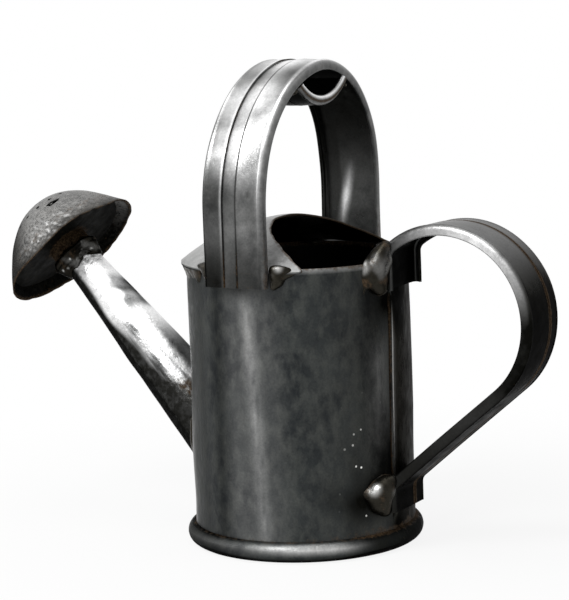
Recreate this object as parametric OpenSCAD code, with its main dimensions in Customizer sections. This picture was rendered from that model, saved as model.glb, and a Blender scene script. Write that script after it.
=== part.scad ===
// Soldered sheet-metal watering can: a straight round body with a half-dome hood over the spout
// side, a folded strap arch over the top with a loop grip, a strap handle at the side, and a
// tapered spout that ends in a domed rose.
// The spout points along -X, the side handle along +X, and the legs of the arch stand at -Y and +Y.

/* [Body] */
// Outside radius of the body
body_r = 50; // [42:1:60]
// Height of the rim above the ground
rim_z = 129; // [115:1:145]
// Thickness of the sheet
sheet = 0.8; // [0.6:0.1:1.2]
// Height of the base plate above the ground
base_z = 5.5; // [4:0.5:10]

/* [Foot] */
// Height of the half-round hoop at the foot
hoop_h = 9.4; // [7:0.2:12]
// How far the hoop stands out from the wall
hoop_depth = 3.7; // [2.5:0.1:4.5]

/* [Hood] */
// Rise of the hood above its own edge
hood_rise = 19; // [14:1:24]
// How far the hood's edge stands out past the wall
hood_overhang = 2.3; // [1.5:0.1:3]
// Radius of the curve that the mouth is cut to
mouth_r = 45.4; // [42:0.2:48]
// Distance of that curve's centre from the axis, towards the side handle
mouth_x = 39.4; // [36:0.2:42]

/* [Straps] */
// Width of the folded strap
strap_w = 30; // [24:1:34]
// Depth of the strap over its turned-down edges
strap_depth = 5; // [4.5:0.5:6]
// Rounding of the strap's outer corners
strap_corner = 2; // [1.5:0.1:2.5]

/* [Top handle] */
// Distance of the -Y leg's outer face from the axis
arch_near = 56; // [55:0.5:58]
// Distance of the +Y leg's outer face from the axis
arch_far = 54; // [53.5:0.5:57]
// Height of the crown above the ground
arch_top = 216.5; // [200:0.5:230]
// Outer radius of the crown
crown_r = 48.8; // [45:0.2:49]
// How far the crown leans towards +Y
crown_shift = 4; // [2:0.5:4]
// Height at which the legs start to curve in
arch_spring_z = 154; // [148:1:156]
// How far the legs reach below the rim
leg_lap = 7.5; // [5:0.5:12]

/* [Grip] */
// Outer radius of the loop under the crown
grip_r = 31; // [28:1:34]
// How far the loop's centre lies towards +Y
grip_shift = 2; // [1:0.5:3]
// Drop from the crown to the bottom of the loop
grip_drop = 20.5; // [18:0.5:24]
// Depth of the loop's strap
grip_depth = 4.6; // [3.5:0.1:5]

/* [Side handle] */
// Outer radius of the big curve
side_r = 42; // [40:0.5:45]
// Distance of that curve's centre from the body's axis
side_x = 78.6; // [76:0.2:82]
// Height of that curve's centre
side_z = 104.4; // [100:0.2:107]
// Slope of the straight stretch that runs down to the body
side_slope = 40.3; // [38:0.1:43]
// Height of the lower end
side_end_z = 18.5; // [15:0.5:20]

/* [Spout] */
// Angle of the spout above level
spout_tilt = 45.7; // [40:0.1:50]
// Height at which the spout's axis crosses the wall
spout_z = 51.7; // [46:0.1:58]
// Distance along the axis from the wall to the edge of the rose
spout_len = 105; // [95:1:115]
// Outside radius of the tube at the wall
spout_root_r = 16.1; // [14:0.1:17]
// Outside radius of the tube at the edge of the rose
spout_tip_r = 8; // [7:0.1:8.2]

/* [Rose] */
// Radius of the rose at its edge
rose_r = 35; // [33:0.5:38]
// Height of the dome above that edge
rose_h = 28.2; // [26:0.2:30]
// Radius of the round top of the dome
rose_top_r = 30.2; // [29:0.2:31]
// Depth of the recess behind the dome
rose_recess = 5; // [4:0.5:7]
// Diameter of the sprinkler holes
hole_d = 2; // [1.5:0.1:2.5]

/* [Hidden] */
$fn = 96;
fit = 0.05;              // air between soldered pieces
clear = 1;               // overrun of a cut past the face it opens
body_inner_r = body_r - sheet;
hood_edge_r = body_r + hood_overhang;
hood_r = (hood_edge_r * hood_edge_r + hood_rise * hood_rise) / (2 * hood_rise);
hood_inner_r = hood_r - sheet;
// the hood's inner face rests on the outer corner of the rim
hood_centre_z = rim_z + fit - sqrt(hood_inner_r * hood_inner_r - body_r * body_r);
hood_edge_z = hood_centre_z + sqrt(hood_r * hood_r - hood_edge_r * hood_edge_r);
lap_angle = 8;           // azimuth of the body's lap seam, on the -Y side of the side handle
lap_w = 5;               // width of the second layer of sheet at that seam
lap_from = hoop_h + 2;   // the layer stops clear of the foot and of the upper solder
lap_to = rim_z - 14;
far_out = 2 * body_r;    // past everything beside the body, for cuts

crown_z = arch_top - crown_r;
grip_centre_z = arch_top - grip_drop + grip_r;
grip_half_angle = 60;
fold = 1.4;              // the strap's two layers of sheet
step = 0.6;              // depth of the channel or groove between its folded edges
hem_r = 0.9;             // rolled edge of the strap
slim = 0.02;             // every second stretch of a strap is this much slimmer all round and
slim_lap = 0.2;          // laps this far into its neighbours, so that they join without a seam
$slim = 0;

rose_edge_s = spout_len; // distances along the spout's axis are measured from the wall
sleeve_r = 9.9;          // the rose's own socket, which the tube enters
sleeve_out = 8;          // how far the socket stands out behind the rose's edge
tube_in = 4;             // how far the tube reaches past the rose's edge
tube_wall = 0.8;
ring_gap = 7;            // distance between the rings of sprinkler holes
slot_l = 7;              // the torn hole in the side of the dome, along and across it
slot_w = 3;
slot_turn = -42;         // its place round the dome
slot_lean = 49;          // and down from the crown

// ---------- helpers ----------

// outside radius of the spout at a distance s from the wall
function tube_r(s) = spout_root_r + (spout_tip_r - spout_root_r) * s / spout_len;

// radius of the side curve that runs from an upright leg into the crown, tangent to both;
// a is the leg's distance from the crown's centre
function shoulder_r(a) =
    let (rise = crown_z - arch_spring_z)
    (rise * rise + a * a - crown_r * crown_r) / (2 * (a - crown_r));

// puts the tube's frame (along +Z, from the wall) on the spout's axis
module on_spout() {
    translate([-body_r, 0, spout_z]) rotate([0, spout_tilt - 90, 0]) children();
}

// a solid cone along the spout, oversize by grow, from s0 to s1
module spout_cone(grow, s0, s1) {
    translate([0, 0, s0])
        cylinder(h = s1 - s0, r1 = tube_r(s0) + grow, r2 = tube_r(s1) + grow);
}

// everything inside the body's outer face, for cuts
module body_core(grow = 0, height = rim_z) {
    translate([0, 0, -clear]) cylinder(h = height + clear, r = body_r + grow);
}

// the space under and in the hood's sheet, for cuts
module hood_core(grow = 0) {
    intersection() {
        translate([0, 0, hood_centre_z]) sphere(r = hood_r + grow, $fn = 192);
        translate([0, 0, hood_edge_z - grow])
            cylinder(h = hood_rise * 2, r = hood_edge_r + grow);
    }
}

// ---------- strap ----------
// Section of the folded strap: u points out of the curve, with the outer face at u = 0,
// and v runs across the width. The channel from v0 to v1 is where the folded edges end.
module strap_block(depth, w, corner) {
    translate([-depth, -w / 2]) square([depth - corner, w]);
    translate([-depth, corner - w / 2]) square([depth, w - 2 * corner]);
    for (side = [-1, 1])
        translate([-corner, side * (w / 2 - corner)]) circle(r = corner, $fn = 48);
}

module strap_section(depth, w, v0, v1) {
    difference() {
        translate([-$slim, 0])
            strap_block(depth - 2 * $slim, w - 2 * $slim, strap_corner - $slim);
        translate([$slim - fold, 0])
            strap_block(depth, w - 2 * (sheet - $slim), strap_corner - sheet + $slim);
        translate([-step - $slim, v0 - $slim]) square([step + clear, v1 - v0 + 2 * $slim]);
    }
    for (side = [-1, 1])
        translate([hem_r - depth, side * (w / 2 - hem_r)]) circle(r = hem_r - $slim, $fn = 32);
}

// one bend about a centre, between two angles; the flanges face the centre
module bend(cx, cy, r, from, to) {
    translate([cx, cy, 0]) rotate([0, 0, from]) rotate_extrude(angle = to - from)
        translate([r, 0]) children();
}

// one bend whose outer face is turned to the centre
module back_bend(cx, cy, r, from, to) {
    bend(cx, cy, r, from, to) mirror([1, 0]) children();
}

// one straight stretch from a point along a heading
module run(x, y, heading, length) {
    translate([x, y, 0]) rotate([0, 0, heading]) rotate([90, 0, 90])
        linear_extrude(height = length) children();
}

// the slimmer stretches
module slim_bend(cx, cy, r, from, to) {
    $slim = slim;
    lap = slim_lap / r * 180 / PI;
    bend(cx, cy, r, from - lap, to + lap) children();
}

module slim_run(x, y, heading, length) {
    $slim = slim;
    run(x - slim_lap * cos(heading), y - slim_lap * sin(heading), heading,
        length + 2 * slim_lap) children();
}

// the paths are drawn in a flat frame and then stood up
module in_arch_plane() { rotate([90, 0, 90]) children(); }
module in_side_plane() { rotate([90, 0, 0]) children(); }

// the folded edges of the arch's strap end on either side of a wide channel
module arch_section() { strap_section(strap_depth, strap_w, -0.15 * strap_w, 0.08 * strap_w); }

// on the side handle they meet at a narrow groove
module side_section() {
    groove = 0.17 * strap_w;
    strap_section(strap_depth, strap_w, -groove - 0.4, 0.4 - groove);
}

module arch_path() {
    near_r = shoulder_r(arch_near + crown_shift);
    far_r = shoulder_r(arch_far - crown_shift);
    near_x = near_r - arch_near;
    far_x = arch_far - far_r;
    rise = crown_z - arch_spring_z;
    near_angle = atan2(rise, crown_shift - near_x);
    far_angle = atan2(rise, crown_shift - far_x);
    leg = arch_spring_z - rim_z + leg_lap;
    run(-arch_near, rim_z - leg_lap, 90, leg) children();
    slim_bend(near_x, arch_spring_z, near_r, near_angle, 180) children();
    bend(crown_shift, crown_z, crown_r, far_angle, near_angle) children();
    slim_bend(far_x, arch_spring_z, far_r, 0, far_angle) children();
    mirror([1, 0, 0]) run(-arch_far, rim_z - leg_lap, 90, leg) children();
}

// the side handle: up the wall, round the big curve, down the slope and down the wall again
side_bend_r = 9;         // the bend at the wall and the one above the lower end
side_back_r = 4;
side_face_x = body_r + 4; // outer face of the lower end
upper_x = body_r + fit;
bend_x = upper_x + side_bend_r;
bend_z = side_z + sqrt(pow(side_r - side_bend_r, 2) - pow(side_x - bend_x, 2));
bend_angle = atan2(bend_z - side_z, bend_x - side_x);
foot_angle = side_slope - 90;
slope_x = side_x + side_r * cos(foot_angle);
slope_z = side_z + side_r * sin(foot_angle);
back_x = side_face_x + side_back_r;
slope_len = (slope_x - back_x + side_back_r * sin(side_slope)) / cos(side_slope);
back_z = slope_z - slope_len * sin(side_slope) - side_back_r * cos(side_slope);
upper_end_z = rim_z - 12;

module side_path() {
    run(upper_x, upper_end_z, 90, bend_z - upper_end_z) children();
    slim_bend(bend_x, bend_z, side_bend_r, bend_angle, 180) children();
    bend(side_x, side_z, side_r, foot_angle, bend_angle) children();
    slim_run(slope_x, slope_z, 180 + side_slope, slope_len) children();
    back_bend(back_x, back_z, side_back_r, 90 + side_slope, 180) children();
    slim_run(side_face_x, back_z, 270, back_z - side_end_z) children();
}

// ---------- body ----------
module body_wall() {
    color("#5f6060") difference() {
        union() {
            cylinder(h = rim_z, r = body_r);
            // second layer of sheet along the lap seam
            rotate([0, 0, -lap_angle]) translate([0, 0, lap_from])
                rotate_extrude(angle = lap_w / body_r * 180 / PI, $fn = 192)
                    translate([body_inner_r, 0]) square([2 * sheet - 2 * fit, lap_to - lap_from]);
        }
        translate([0, 0, -clear]) cylinder(h = rim_z + 2 * clear, r = body_inner_r);
        on_spout() spout_cone(-tube_wall, -body_r, body_r / 2);
    }
}

module base_plate() {
    color("#4c4c49") difference() {
        cylinder(h = base_z, r = body_inner_r - fit);
        translate([0, 0, -clear]) cylinder(h = base_z - sheet + clear, r = body_inner_r - fit - sheet);
    }
}

module foot_hoop() {
    hoop_r = hoop_h / 2;
    color("#6a6a68") rotate_extrude($fn = 192) difference() {
        translate([body_r + hoop_depth - hoop_r, hoop_r]) circle(r = hoop_r, $fn = 64);
        translate([body_r + hoop_depth - hoop_r, hoop_r]) circle(r = hoop_r - sheet, $fn = 64);
        square([body_r + fit, hoop_h]);
    }
}

module hood() {
    color("#6d6d68") difference() {
        intersection() {
            translate([0, 0, hood_centre_z]) sphere(r = hood_r, $fn = 192);
            translate([0, 0, hood_edge_z]) cylinder(h = hood_rise * 2, r = hood_edge_r + clear);
        }
        translate([0, 0, hood_centre_z]) sphere(r = hood_inner_r, $fn = 192);
        translate([mouth_x, 0, hood_edge_z - clear]) cylinder(h = hood_rise * 2, r = mouth_r);
    }
}

// ---------- handles ----------
module top_handle() {
    color("#8b8c8c") difference() {
        in_arch_plane() arch_path() arch_section();
        hood_core(fit * 2);
        body_core(fit);
    }
}

module grip_loop() {
    in_arch_plane()
        bend(grip_shift, grip_centre_z, grip_r, 270 - grip_half_angle, 270 + grip_half_angle)
            children();
}

// everything above the underside of the crown, for cuts
module under_crown() {
    in_arch_plane() translate([crown_shift, crown_z, -strap_w]) difference() {
        cylinder(h = 2 * strap_w, r = crown_r + strap_w, $fn = 192);
        translate([0, 0, -clear])
            cylinder(h = 2 * strap_w + 2 * clear, r = crown_r - strap_depth - fit, $fn = 192);
    }
}

module top_grip() {
    groove = 0.17 * strap_w;
    color("#55524f") difference() {
        grip_loop() strap_section(grip_depth, strap_w, groove - 0.4, groove + 0.4);
        under_crown();
    }
}

module side_handle() {
    color("#7b7b79") difference() {
        in_side_plane() side_path() side_section();
        body_core(fit);
        rotate([0, 0, -lap_angle - 1]) translate([0, 0, -clear])
            rotate_extrude(angle = lap_w / body_r * 180 / PI + 2, $fn = 192)
                translate([body_inner_r, 0]) square([2 * sheet - 0.05, rim_z]);
    }
}

// ---------- spout and rose ----------
module spout_tube() {
    tip = rose_edge_s + tube_in;
    color("#b0b1b0") difference() {
        on_spout() difference() {
            spout_cone(0, -body_r, tip);
            spout_cone(-tube_wall, -body_r - clear, tip + clear);
        }
        body_core(fit);
    }
}

// The dome is a round top that runs into a cone. Its points, oversize by grow, from the
// crown to the edge, as distance from the axis and height above the edge.
top_centre = rose_h - rose_top_r;
touch = atan2(-top_centre, rose_r) + acos(rose_top_r / norm([rose_r, top_centre]));
function dome_points(grow) = concat(
    [for (i = [0 : 9])
        let (a = 90 + (touch - 90) * i / 9)
        [(rose_top_r + grow) * cos(a), top_centre + (rose_top_r + grow) * sin(a)]],
    [[rose_r + grow / cos(touch), 0]]
);
function reversed(list) = [for (i = [len(list) - 1 : -1 : 0]) list[i]];

module rose_frame() { on_spout() translate([0, 0, rose_edge_s]) children(); }

module rose_face() {
    color("#7d7a74") rose_frame() difference() {
        rotate_extrude($fn = 128)
            polygon(concat(dome_points(0), reversed(dome_points(-sheet))));
        for (ring = [0 : 3])
            for (i = [0 : max(0, ring * 6 - 1)])
                rotate([0, 0, i * 60 / max(1, ring)])
                    translate([0, 0, top_centre])
                        rotate([0, ring * ring_gap / rose_top_r * 180 / PI, 0])
                            translate([0, 0, rose_top_r / 2])
                                cylinder(h = rose_top_r, d = hole_d, $fn = 24);
        rotate([0, 0, slot_turn]) translate([0, 0, top_centre]) rotate([0, slot_lean, 0])
            translate([0, 0, rose_top_r / 2]) linear_extrude(height = rose_top_r) {
                square([slot_w, slot_l - slot_w], center = true);
                for (end = [-1, 1])
                    translate([0, end * (slot_l - slot_w) / 2]) circle(d = slot_w, $fn = 24);
            }
    }
}

module rose_back() {
    inner_r = rose_r - (rose_recess + sheet) * tan(touch) - sheet / cos(touch) - fit;
    color("#3a3936") rose_frame() translate([0, 0, rose_recess]) difference() {
        cylinder(h = sheet, r = inner_r);
        translate([0, 0, -clear]) cylinder(h = sheet + 2 * clear, r = sleeve_r + fit);
    }
}

module rose_neck() {
    color("#6b6965") rose_frame() difference() {
        translate([0, 0, -sleeve_out]) cylinder(h = sleeve_out + rose_recess + sheet, r = sleeve_r);
        translate([0, 0, -sleeve_out - clear])
            cylinder(h = rose_h, r = sleeve_r - sheet);
    }
}

// ---------- solder ----------
// under the base plate, all round
module solder_base() {
    leg = 2.5;
    edge_r = body_inner_r - sheet - 2 * fit;
    top = base_z - sheet - fit;
    color("#77776f") rotate_extrude($fn = 192)
        polygon([[edge_r - leg, top], [edge_r, top], [edge_r, top - leg]]);
}

// hollow fillet under the hood's edge, round the spout side between the legs of the arch
module solder_hood() {
    drop = 8;
    from = 118;
    top = hood_edge_z - fit;
    width = hood_overhang - 4 * fit;
    color("#6b6a62") rotate([0, 0, from]) rotate_extrude(angle = 360 - 2 * from, $fn = 192)
        polygon(concat(
            [[body_r + fit, top]],
            [for (a = [0 : 15 : 90])
                [body_r + fit + width * (1 - sin(a)), top - drop * (1 - cos(a))]]
        ));
}

// runs of solder at both edges of one leg of the arch
module solder_arch(side) {
    run_r = 6.2;
    color("#66635a") difference() {
        for (x = [-1, 1])
            translate([x * (strap_w / 2 + 1), side * (body_r - 3.5), rim_z - 5.5]) sphere(r = run_r);
        body_core(fit, arch_top);
        hood_core(fit);
        translate([-strap_w / 2 - fit, -far_out, 0]) cube([strap_w + 2 * fit, 2 * far_out, arch_top]);
    }
}
module solder_arch_near() { solder_arch(-1); }
module solder_arch_far() { solder_arch(1); }

// lumps at both edges of one end of the side handle, each as distance from the axis, height
// and radius
module solder_lumps(lumps) {
    color("#8a8981") difference() {
        for (y = [-1, 1])
            for (lump = lumps)
                translate([lump[0], y * (strap_w / 2 + 1.2), lump[1]]) sphere(r = lump[2]);
        body_core(fit, arch_top);
        translate([0, -strap_w / 2 - fit, 0]) cube([far_out, strap_w + 2 * fit, arch_top]);
    }
}
module solder_side_upper() {
    solder_lumps([[body_r - 5, rim_z - 4, 8.5], [body_r - 1.5, rim_z + 2, 5]]);
}
module solder_side_lower() { solder_lumps([[body_r - 5, side_end_z + 7, 8.5]]); }

// beads where the loop meets the underside of the crown
module solder_grip() {
    bead_r = 2.2;
    bead_y = 22.6;
    bead_drop = 23.2;
    bead_end = 2;
    middle = (grip_shift + crown_shift) / 2;
    color("#5a564f") difference() {
        in_arch_plane()
            for (side = [-1, 1])
                translate([middle + side * bead_y, grip_centre_z - bead_drop, bead_end - strap_w / 2])
                    cylinder(h = strap_w - 2 * bead_end, r = bead_r);
        grip_loop() translate([-grip_depth - clear, -strap_w])
            square([grip_depth + clear + fit, 2 * strap_w]);
        under_crown();
    }
}

// collar round the root of the spout
module solder_spout() {
    leg = 3;
    color("#5d554b") difference() {
        intersection() {
            on_spout() spout_cone(leg, -body_r, body_r);
            cylinder(h = rim_z, r = body_r + leg, $fn = 192);
        }
        on_spout() spout_cone(fit, -body_r - clear, body_r + clear);
        body_core(fit);
    }
}

// ring where the tube enters the rose's socket
module solder_rose() {
    end = rose_edge_s - sleeve_out - fit;
    start = end - 3;
    color("#a09d95") on_spout() rotate_extrude()
        polygon([[tube_r(start) + fit, start], [sleeve_r, end], [tube_r(end) + fit, end]]);
}

body_wall();
base_plate();
foot_hoop();
hood();
top_handle();
top_grip();
side_handle();
spout_tube();
rose_face();
rose_back();
rose_neck();
solder_base();
solder_hood();
solder_arch_near();
solder_arch_far();
solder_side_upper();
solder_side_lower();
solder_grip();
solder_spout();
solder_rose();
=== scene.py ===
# %% [markdown]
# A worn little watering can
# The real can is soldered up from thin tinned sheet: a straight body with a half-dome hood, an
# arch of folded strap with a loop grip, a strap handle at the side, and a tapered spout with a
# domed rose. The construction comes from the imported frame. This script rebuilds each piece as a
# finer mesh in the same place, with the unevenness of hand work, and gives it a finish.

# %% Load the frame
import math

import bmesh
import bpy
import numpy as np
from mathutils import Matrix, Vector


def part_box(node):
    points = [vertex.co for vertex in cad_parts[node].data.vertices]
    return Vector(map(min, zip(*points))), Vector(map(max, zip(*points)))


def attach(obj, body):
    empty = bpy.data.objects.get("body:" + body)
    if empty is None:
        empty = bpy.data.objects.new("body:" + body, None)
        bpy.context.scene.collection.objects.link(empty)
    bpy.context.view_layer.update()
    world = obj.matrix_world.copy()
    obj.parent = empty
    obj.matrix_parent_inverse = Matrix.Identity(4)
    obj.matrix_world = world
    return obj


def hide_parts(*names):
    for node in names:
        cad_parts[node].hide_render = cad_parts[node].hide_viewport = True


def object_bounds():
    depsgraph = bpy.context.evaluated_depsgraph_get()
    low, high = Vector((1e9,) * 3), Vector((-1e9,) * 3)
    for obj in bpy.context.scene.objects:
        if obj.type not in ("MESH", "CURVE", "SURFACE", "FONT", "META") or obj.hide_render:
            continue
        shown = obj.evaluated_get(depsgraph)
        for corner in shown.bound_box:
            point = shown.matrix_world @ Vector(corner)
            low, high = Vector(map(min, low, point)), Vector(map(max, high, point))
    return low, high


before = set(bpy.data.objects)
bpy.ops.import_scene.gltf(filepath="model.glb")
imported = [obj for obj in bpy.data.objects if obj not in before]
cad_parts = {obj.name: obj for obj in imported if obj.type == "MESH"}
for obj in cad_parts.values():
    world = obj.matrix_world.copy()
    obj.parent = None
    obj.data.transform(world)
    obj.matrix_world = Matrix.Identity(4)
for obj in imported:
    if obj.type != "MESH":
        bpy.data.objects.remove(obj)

cad_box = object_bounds()

# %% [markdown]
# Lengths
# Everything below is written in millimetres, because that is how a tinsmith would measure it, and
# turned to metres when a mesh is made. Whatever can be read off the frame's own boxes is, and the
# few curves that a box can't tell are named here.

# %% Driving lengths
MM = 0.001


def box_mm(node):
    """Lowest and highest corner of a CAD node, in millimetres."""
    low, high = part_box(node)
    return np.array(low) / MM, np.array(high) / MM


SHEET = 0.8
FIT = 0.05                # air between soldered pieces
BODY_R = -box_mm("body_wall")[0][1]
RIM_Z = box_mm("body_wall")[1][2]
BASE_Z = box_mm("base_plate")[1][2]
HOOP_R = box_mm("foot_hoop")[1][0]
HOOP_H = box_mm("foot_hoop")[1][2]
HOOD_EDGE_R = -box_mm("hood")[0][0]
HOOD_EDGE_Z = box_mm("hood")[0][2]
ARCH_NEAR, ARCH_FAR = -box_mm("top_handle")[0][1], box_mm("top_handle")[1][1]
ARCH_TOP = box_mm("top_handle")[1][2]
LEG_END_Z = box_mm("top_handle")[0][2]
STRAP_W = box_mm("top_handle")[1][0] * 2
SIDE_END_Z = box_mm("side_handle")[0][2]
print("body radius", BODY_R, "rim", RIM_Z, "arch", ARCH_NEAR, ARCH_FAR, "strap", STRAP_W)

HOOD_RISE = 19.0
HOOD_R = (HOOD_EDGE_R ** 2 + HOOD_RISE ** 2) / (2 * HOOD_RISE)
HOOD_CENTRE_Z = HOOD_EDGE_Z - math.sqrt(HOOD_R ** 2 - HOOD_EDGE_R ** 2)
MOUTH_R, MOUTH_X = 45.4, 39.4
LAP_ANGLE = -8.0          # azimuth of the body's lap seam in degrees

# %% [markdown]
# Making a mesh
# Nearly every piece is sheet, so one builder makes a closed shell from two matching grids of
# points: its outer face and its inner face. It joins them along their free edges, which gives
# clean quads with a true thickness, and no face is left hanging.

# %% Mesh helpers
DOUBLE = 1e-6             # points closer than this, in metres, are one


def mesh_from(name, points, faces):
    """A mesh from points in millimetres."""
    mesh = bpy.data.meshes.new(name)
    mesh.from_pydata((np.asarray(points) * MM).tolist(), [], faces)
    return mesh


def put(name, data):
    """An object for a mesh, a lamp or the camera, linked to the scene."""
    made = bpy.data.objects.new(name, data)
    bpy.context.scene.collection.objects.link(made)
    return made


def face_outwards(mesh, merge=False):
    """Turns every face outwards, and merges doubled points first if asked to."""
    work = bmesh.new()
    work.from_mesh(mesh)
    if merge:
        bmesh.ops.remove_doubles(work, verts=work.verts, dist=DOUBLE)
    bmesh.ops.recalc_face_normals(work, faces=work.faces)
    work.to_mesh(mesh)
    work.free()


def tidy_mesh(piece, angle=35):
    """A clean, smooth mesh in which only real creases are sharp."""
    face_outwards(piece.data, merge=True)
    piece.data.shade_smooth()
    piece.data.set_sharp_from_angle(angle=math.radians(angle))


def enrol(piece, node_name):
    """Makes a piece ride on the can and stand for its CAD node."""
    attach(piece, "root")
    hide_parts(node_name)


def make_piece(name, points, faces, node_name, angle=35):
    """One piece of the can from millimetre points."""
    piece = put(name, mesh_from(name, points, faces))
    tidy_mesh(piece, angle)
    enrol(piece, node_name)
    return piece


def grid_faces(rows, columns, wrap_rows, wrap_columns):
    """Quads over a grid of points numbered row by row."""
    faces = []
    for i in range(rows if wrap_rows else rows - 1):
        for j in range(columns if wrap_columns else columns - 1):
            a, b = i * columns, (i + 1) % rows * columns
            k = (j + 1) % columns
            faces.append([a + j, a + k, b + k, b + j])
    return faces


def capped(faces, rings, columns):
    """The faces of a stack of rings, with its first and last ring closed by one face each."""
    last = (rings - 1) * columns
    return faces + [list(range(columns)), list(range(last, last + columns))]


def shell(outer, inner, wrap=False):
    """The closed shell between two grids; wrap joins the last column to the first."""
    rows, columns = outer.shape[:2]
    if wrap:
        ring = np.concatenate([outer, inner[::-1]], 0)
        return ring.reshape(-1, 3), grid_faces(rows * 2, columns, True, True)
    loop = np.concatenate([outer, inner[:, ::-1]], 1)
    faces = grid_faces(rows, columns * 2, False, True)
    for row in (0, rows - 1):
        first = row * columns * 2
        for j in range(columns - 1):
            back = columns * 2 - 1 - j
            faces.append([first + j, first + j + 1, first + back - 1, first + back])
    return loop.reshape(-1, 3), faces


def close_pinhole(faces, rows, columns):
    """Closes both faces of a turned shell at its axis, where they would join at a pinhole."""
    last = (2 * rows - 1) * columns
    kept = [f for f in faces if not all(i < columns or i >= last for i in f)]
    return capped(kept, 2 * rows, columns)


def turned(profile, segments):
    """A profile of (radius, height) pairs turned about the axis, as a grid of points."""
    profile = np.asarray(profile, float)
    turn = np.linspace(0, 2 * math.pi, segments, endpoint=False)
    r, z = profile[:, 0][:, None], profile[:, 1][:, None]
    return np.stack([r * np.cos(turn), r * np.sin(turn), z + 0 * turn], -1)


# %% [markdown]
# Hand-made unevenness
# Nothing soldered by hand is true. A smooth wandering field, made of a few sine waves in seeded
# directions, nudges all but the foot and the base by the same small amount at the same place, so
# the joints stay closed while edges and highlights wander. Shorter waves dent single pieces.

# %% Unevenness
def waves(points, size, seed, count=7):
    """A smooth number between about -1 and 1 at each point; size is the length of the waves."""
    rng = np.random.default_rng(seed)
    total = np.zeros(points.shape[:-1])
    for _ in range(count):
        way = rng.normal(size=3)
        way *= 2 * math.pi / (size * rng.uniform(0.7, 1.4) * np.linalg.norm(way))
        total += np.sin(points @ way + rng.uniform(0, 2 * math.pi))
    return total / math.sqrt(count * 2)


def wander(points, size, amount, seed):
    """The points moved by up to about the amount along each axis."""
    return points + amount * np.stack([waves(points, size, seed + k) for k in range(3)], -1)


def get_points(piece):
    """The piece's points in millimetres."""
    flat = np.empty(len(piece.data.vertices) * 3)
    piece.data.vertices.foreach_get("co", flat)
    return flat.reshape(-1, 3) / MM


def set_points(piece, points):
    """Gives the piece new points, in millimetres."""
    piece.data.vertices.foreach_set("co", (points * MM).ravel())
    piece.data.update()


SHARED_WAVE, SHARED_SHIFT = 70, 0.22   # length and strength of the shared unevenness, in mm
STILL_Z = 12              # it fades in over this height above the ground


def share_unevenness(piece):
    """Moves a piece by the unevenness that the pieces share, inside the CAD's own box."""
    points = get_points(piece)
    moved = wander(points, SHARED_WAVE, SHARED_SHIFT, seed=3)
    keep = np.clip(points[:, 2:3] / STILL_Z, 0, 1)
    low, high = np.array(cad_box[0]) / MM, np.array(cad_box[1]) / MM
    set_points(piece, np.clip(points + (moved - points) * keep, low, high))


def bake_modifiers(piece):
    """Swaps a piece's mesh for what its modifiers make of it."""
    piece.data = bpy.data.meshes.new_from_object(
        piece.evaluated_get(bpy.context.evaluated_depsgraph_get()))
    piece.modifiers.clear()


def cut(piece, *cutters):
    """Takes cutters out of a piece with exact booleans and removes them."""
    for cutter in cutters:
        tool = piece.modifiers.new("cut", "BOOLEAN")
        tool.operation, tool.solver, tool.object = "DIFFERENCE", "EXACT", cutter
        bake_modifiers(piece)
        bpy.data.objects.remove(cutter)
    tidy_mesh(piece)


def cutter_from(points, faces):
    """A closed object that cut() takes out of a piece."""
    mesh = mesh_from("cutter", points, faces)
    face_outwards(mesh)
    return put("cutter", mesh)


def solid_turned(profile, segments=96):
    """A solid of revolution with flat ends; the profile gives its side only."""
    count = len(profile)
    faces = capped(grid_faces(count, segments, False, True), count, segments)
    return turned(profile, segments).reshape(-1, 3), faces


def paint(piece, name, weight):
    """Stores how strong one kind of wear is at each point, for the finish to read."""
    layer = piece.data.attributes.new(name, "FLOAT", "POINT")
    everywhere = np.broadcast_to(weight, len(piece.data.vertices))
    layer.data.foreach_set("value", np.clip(everywhere, 0, 1).astype(np.float32))


def near(value, middle, reach):
    """1 at the middle, falling smoothly to 0 at the reach."""
    return np.clip(1 - np.abs(value - middle) / reach, 0, 1) ** 1.5


def ramp(value, start, end):
    """0 at start, 1 at end, smooth between."""
    t = np.clip((value - start) / (end - start), 0, 1)
    return t * t * (3 - 2 * t)


def azimuth(points):
    """Degrees round the axis from +X."""
    return np.degrees(np.arctan2(points[:, 1], points[:, 0]))


# %% [markdown]
# Colour and nodes
# Colours are written as they would be picked on a screen and turned to the linear values that
# the renderer adds up. One small function places a node, sets it and links it.

# %% Material helpers
def linear(hex_colour):
    """An sRGB hex colour as linear RGBA."""
    parts = [int(hex_colour[i:i + 2], 16) / 255 for i in (1, 3, 5)]
    return [c / 12.92 if c <= 0.04045 else ((c + 0.055) / 1.055) ** 2.4 for c in parts] + [1.0]


def bare_tree(owner):
    """The emptied node tree of a material or of the world."""
    owner.use_nodes = True
    owner.node_tree.nodes.clear()
    return owner.node_tree


def add(tree, kind, inputs=None, **settings):
    """Adds one node. Inputs are values, or another node's output to link."""
    made = tree.nodes.new(kind)
    for name, value in settings.items():
        setattr(made, name, value)
    for key, value in (inputs or {}).items():
        if isinstance(value, bpy.types.NodeSocket):
            tree.links.new(value, made.inputs[key])
        else:
            made.inputs[key].default_value = value
    return made


# %% [markdown]
# Old tinned sheet
# The sheet is iron dipped in tin, rolled smooth and left to go dull. What the eye gets is a
# cloudy grey film that still mirrors softly, paler where hands and edges have rubbed it and where
# a highlight is painted, darker where grime stays and where shade is painted, and brown where the
# tin is gone and the iron rusts. Each of these is a layer in one build-up that all the can's
# finishes share, with their own colours and strengths.

# %% The build-up of an old metal finish
# sizes of the patterns in millimetres; the first is drawn coarser than real, so that it shows
GRAIN, RUST_GRAIN, PIT, RUST_SCALE, FLECK_GAP = 0.9, 0.8, 1.7, 2.4, 5
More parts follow.
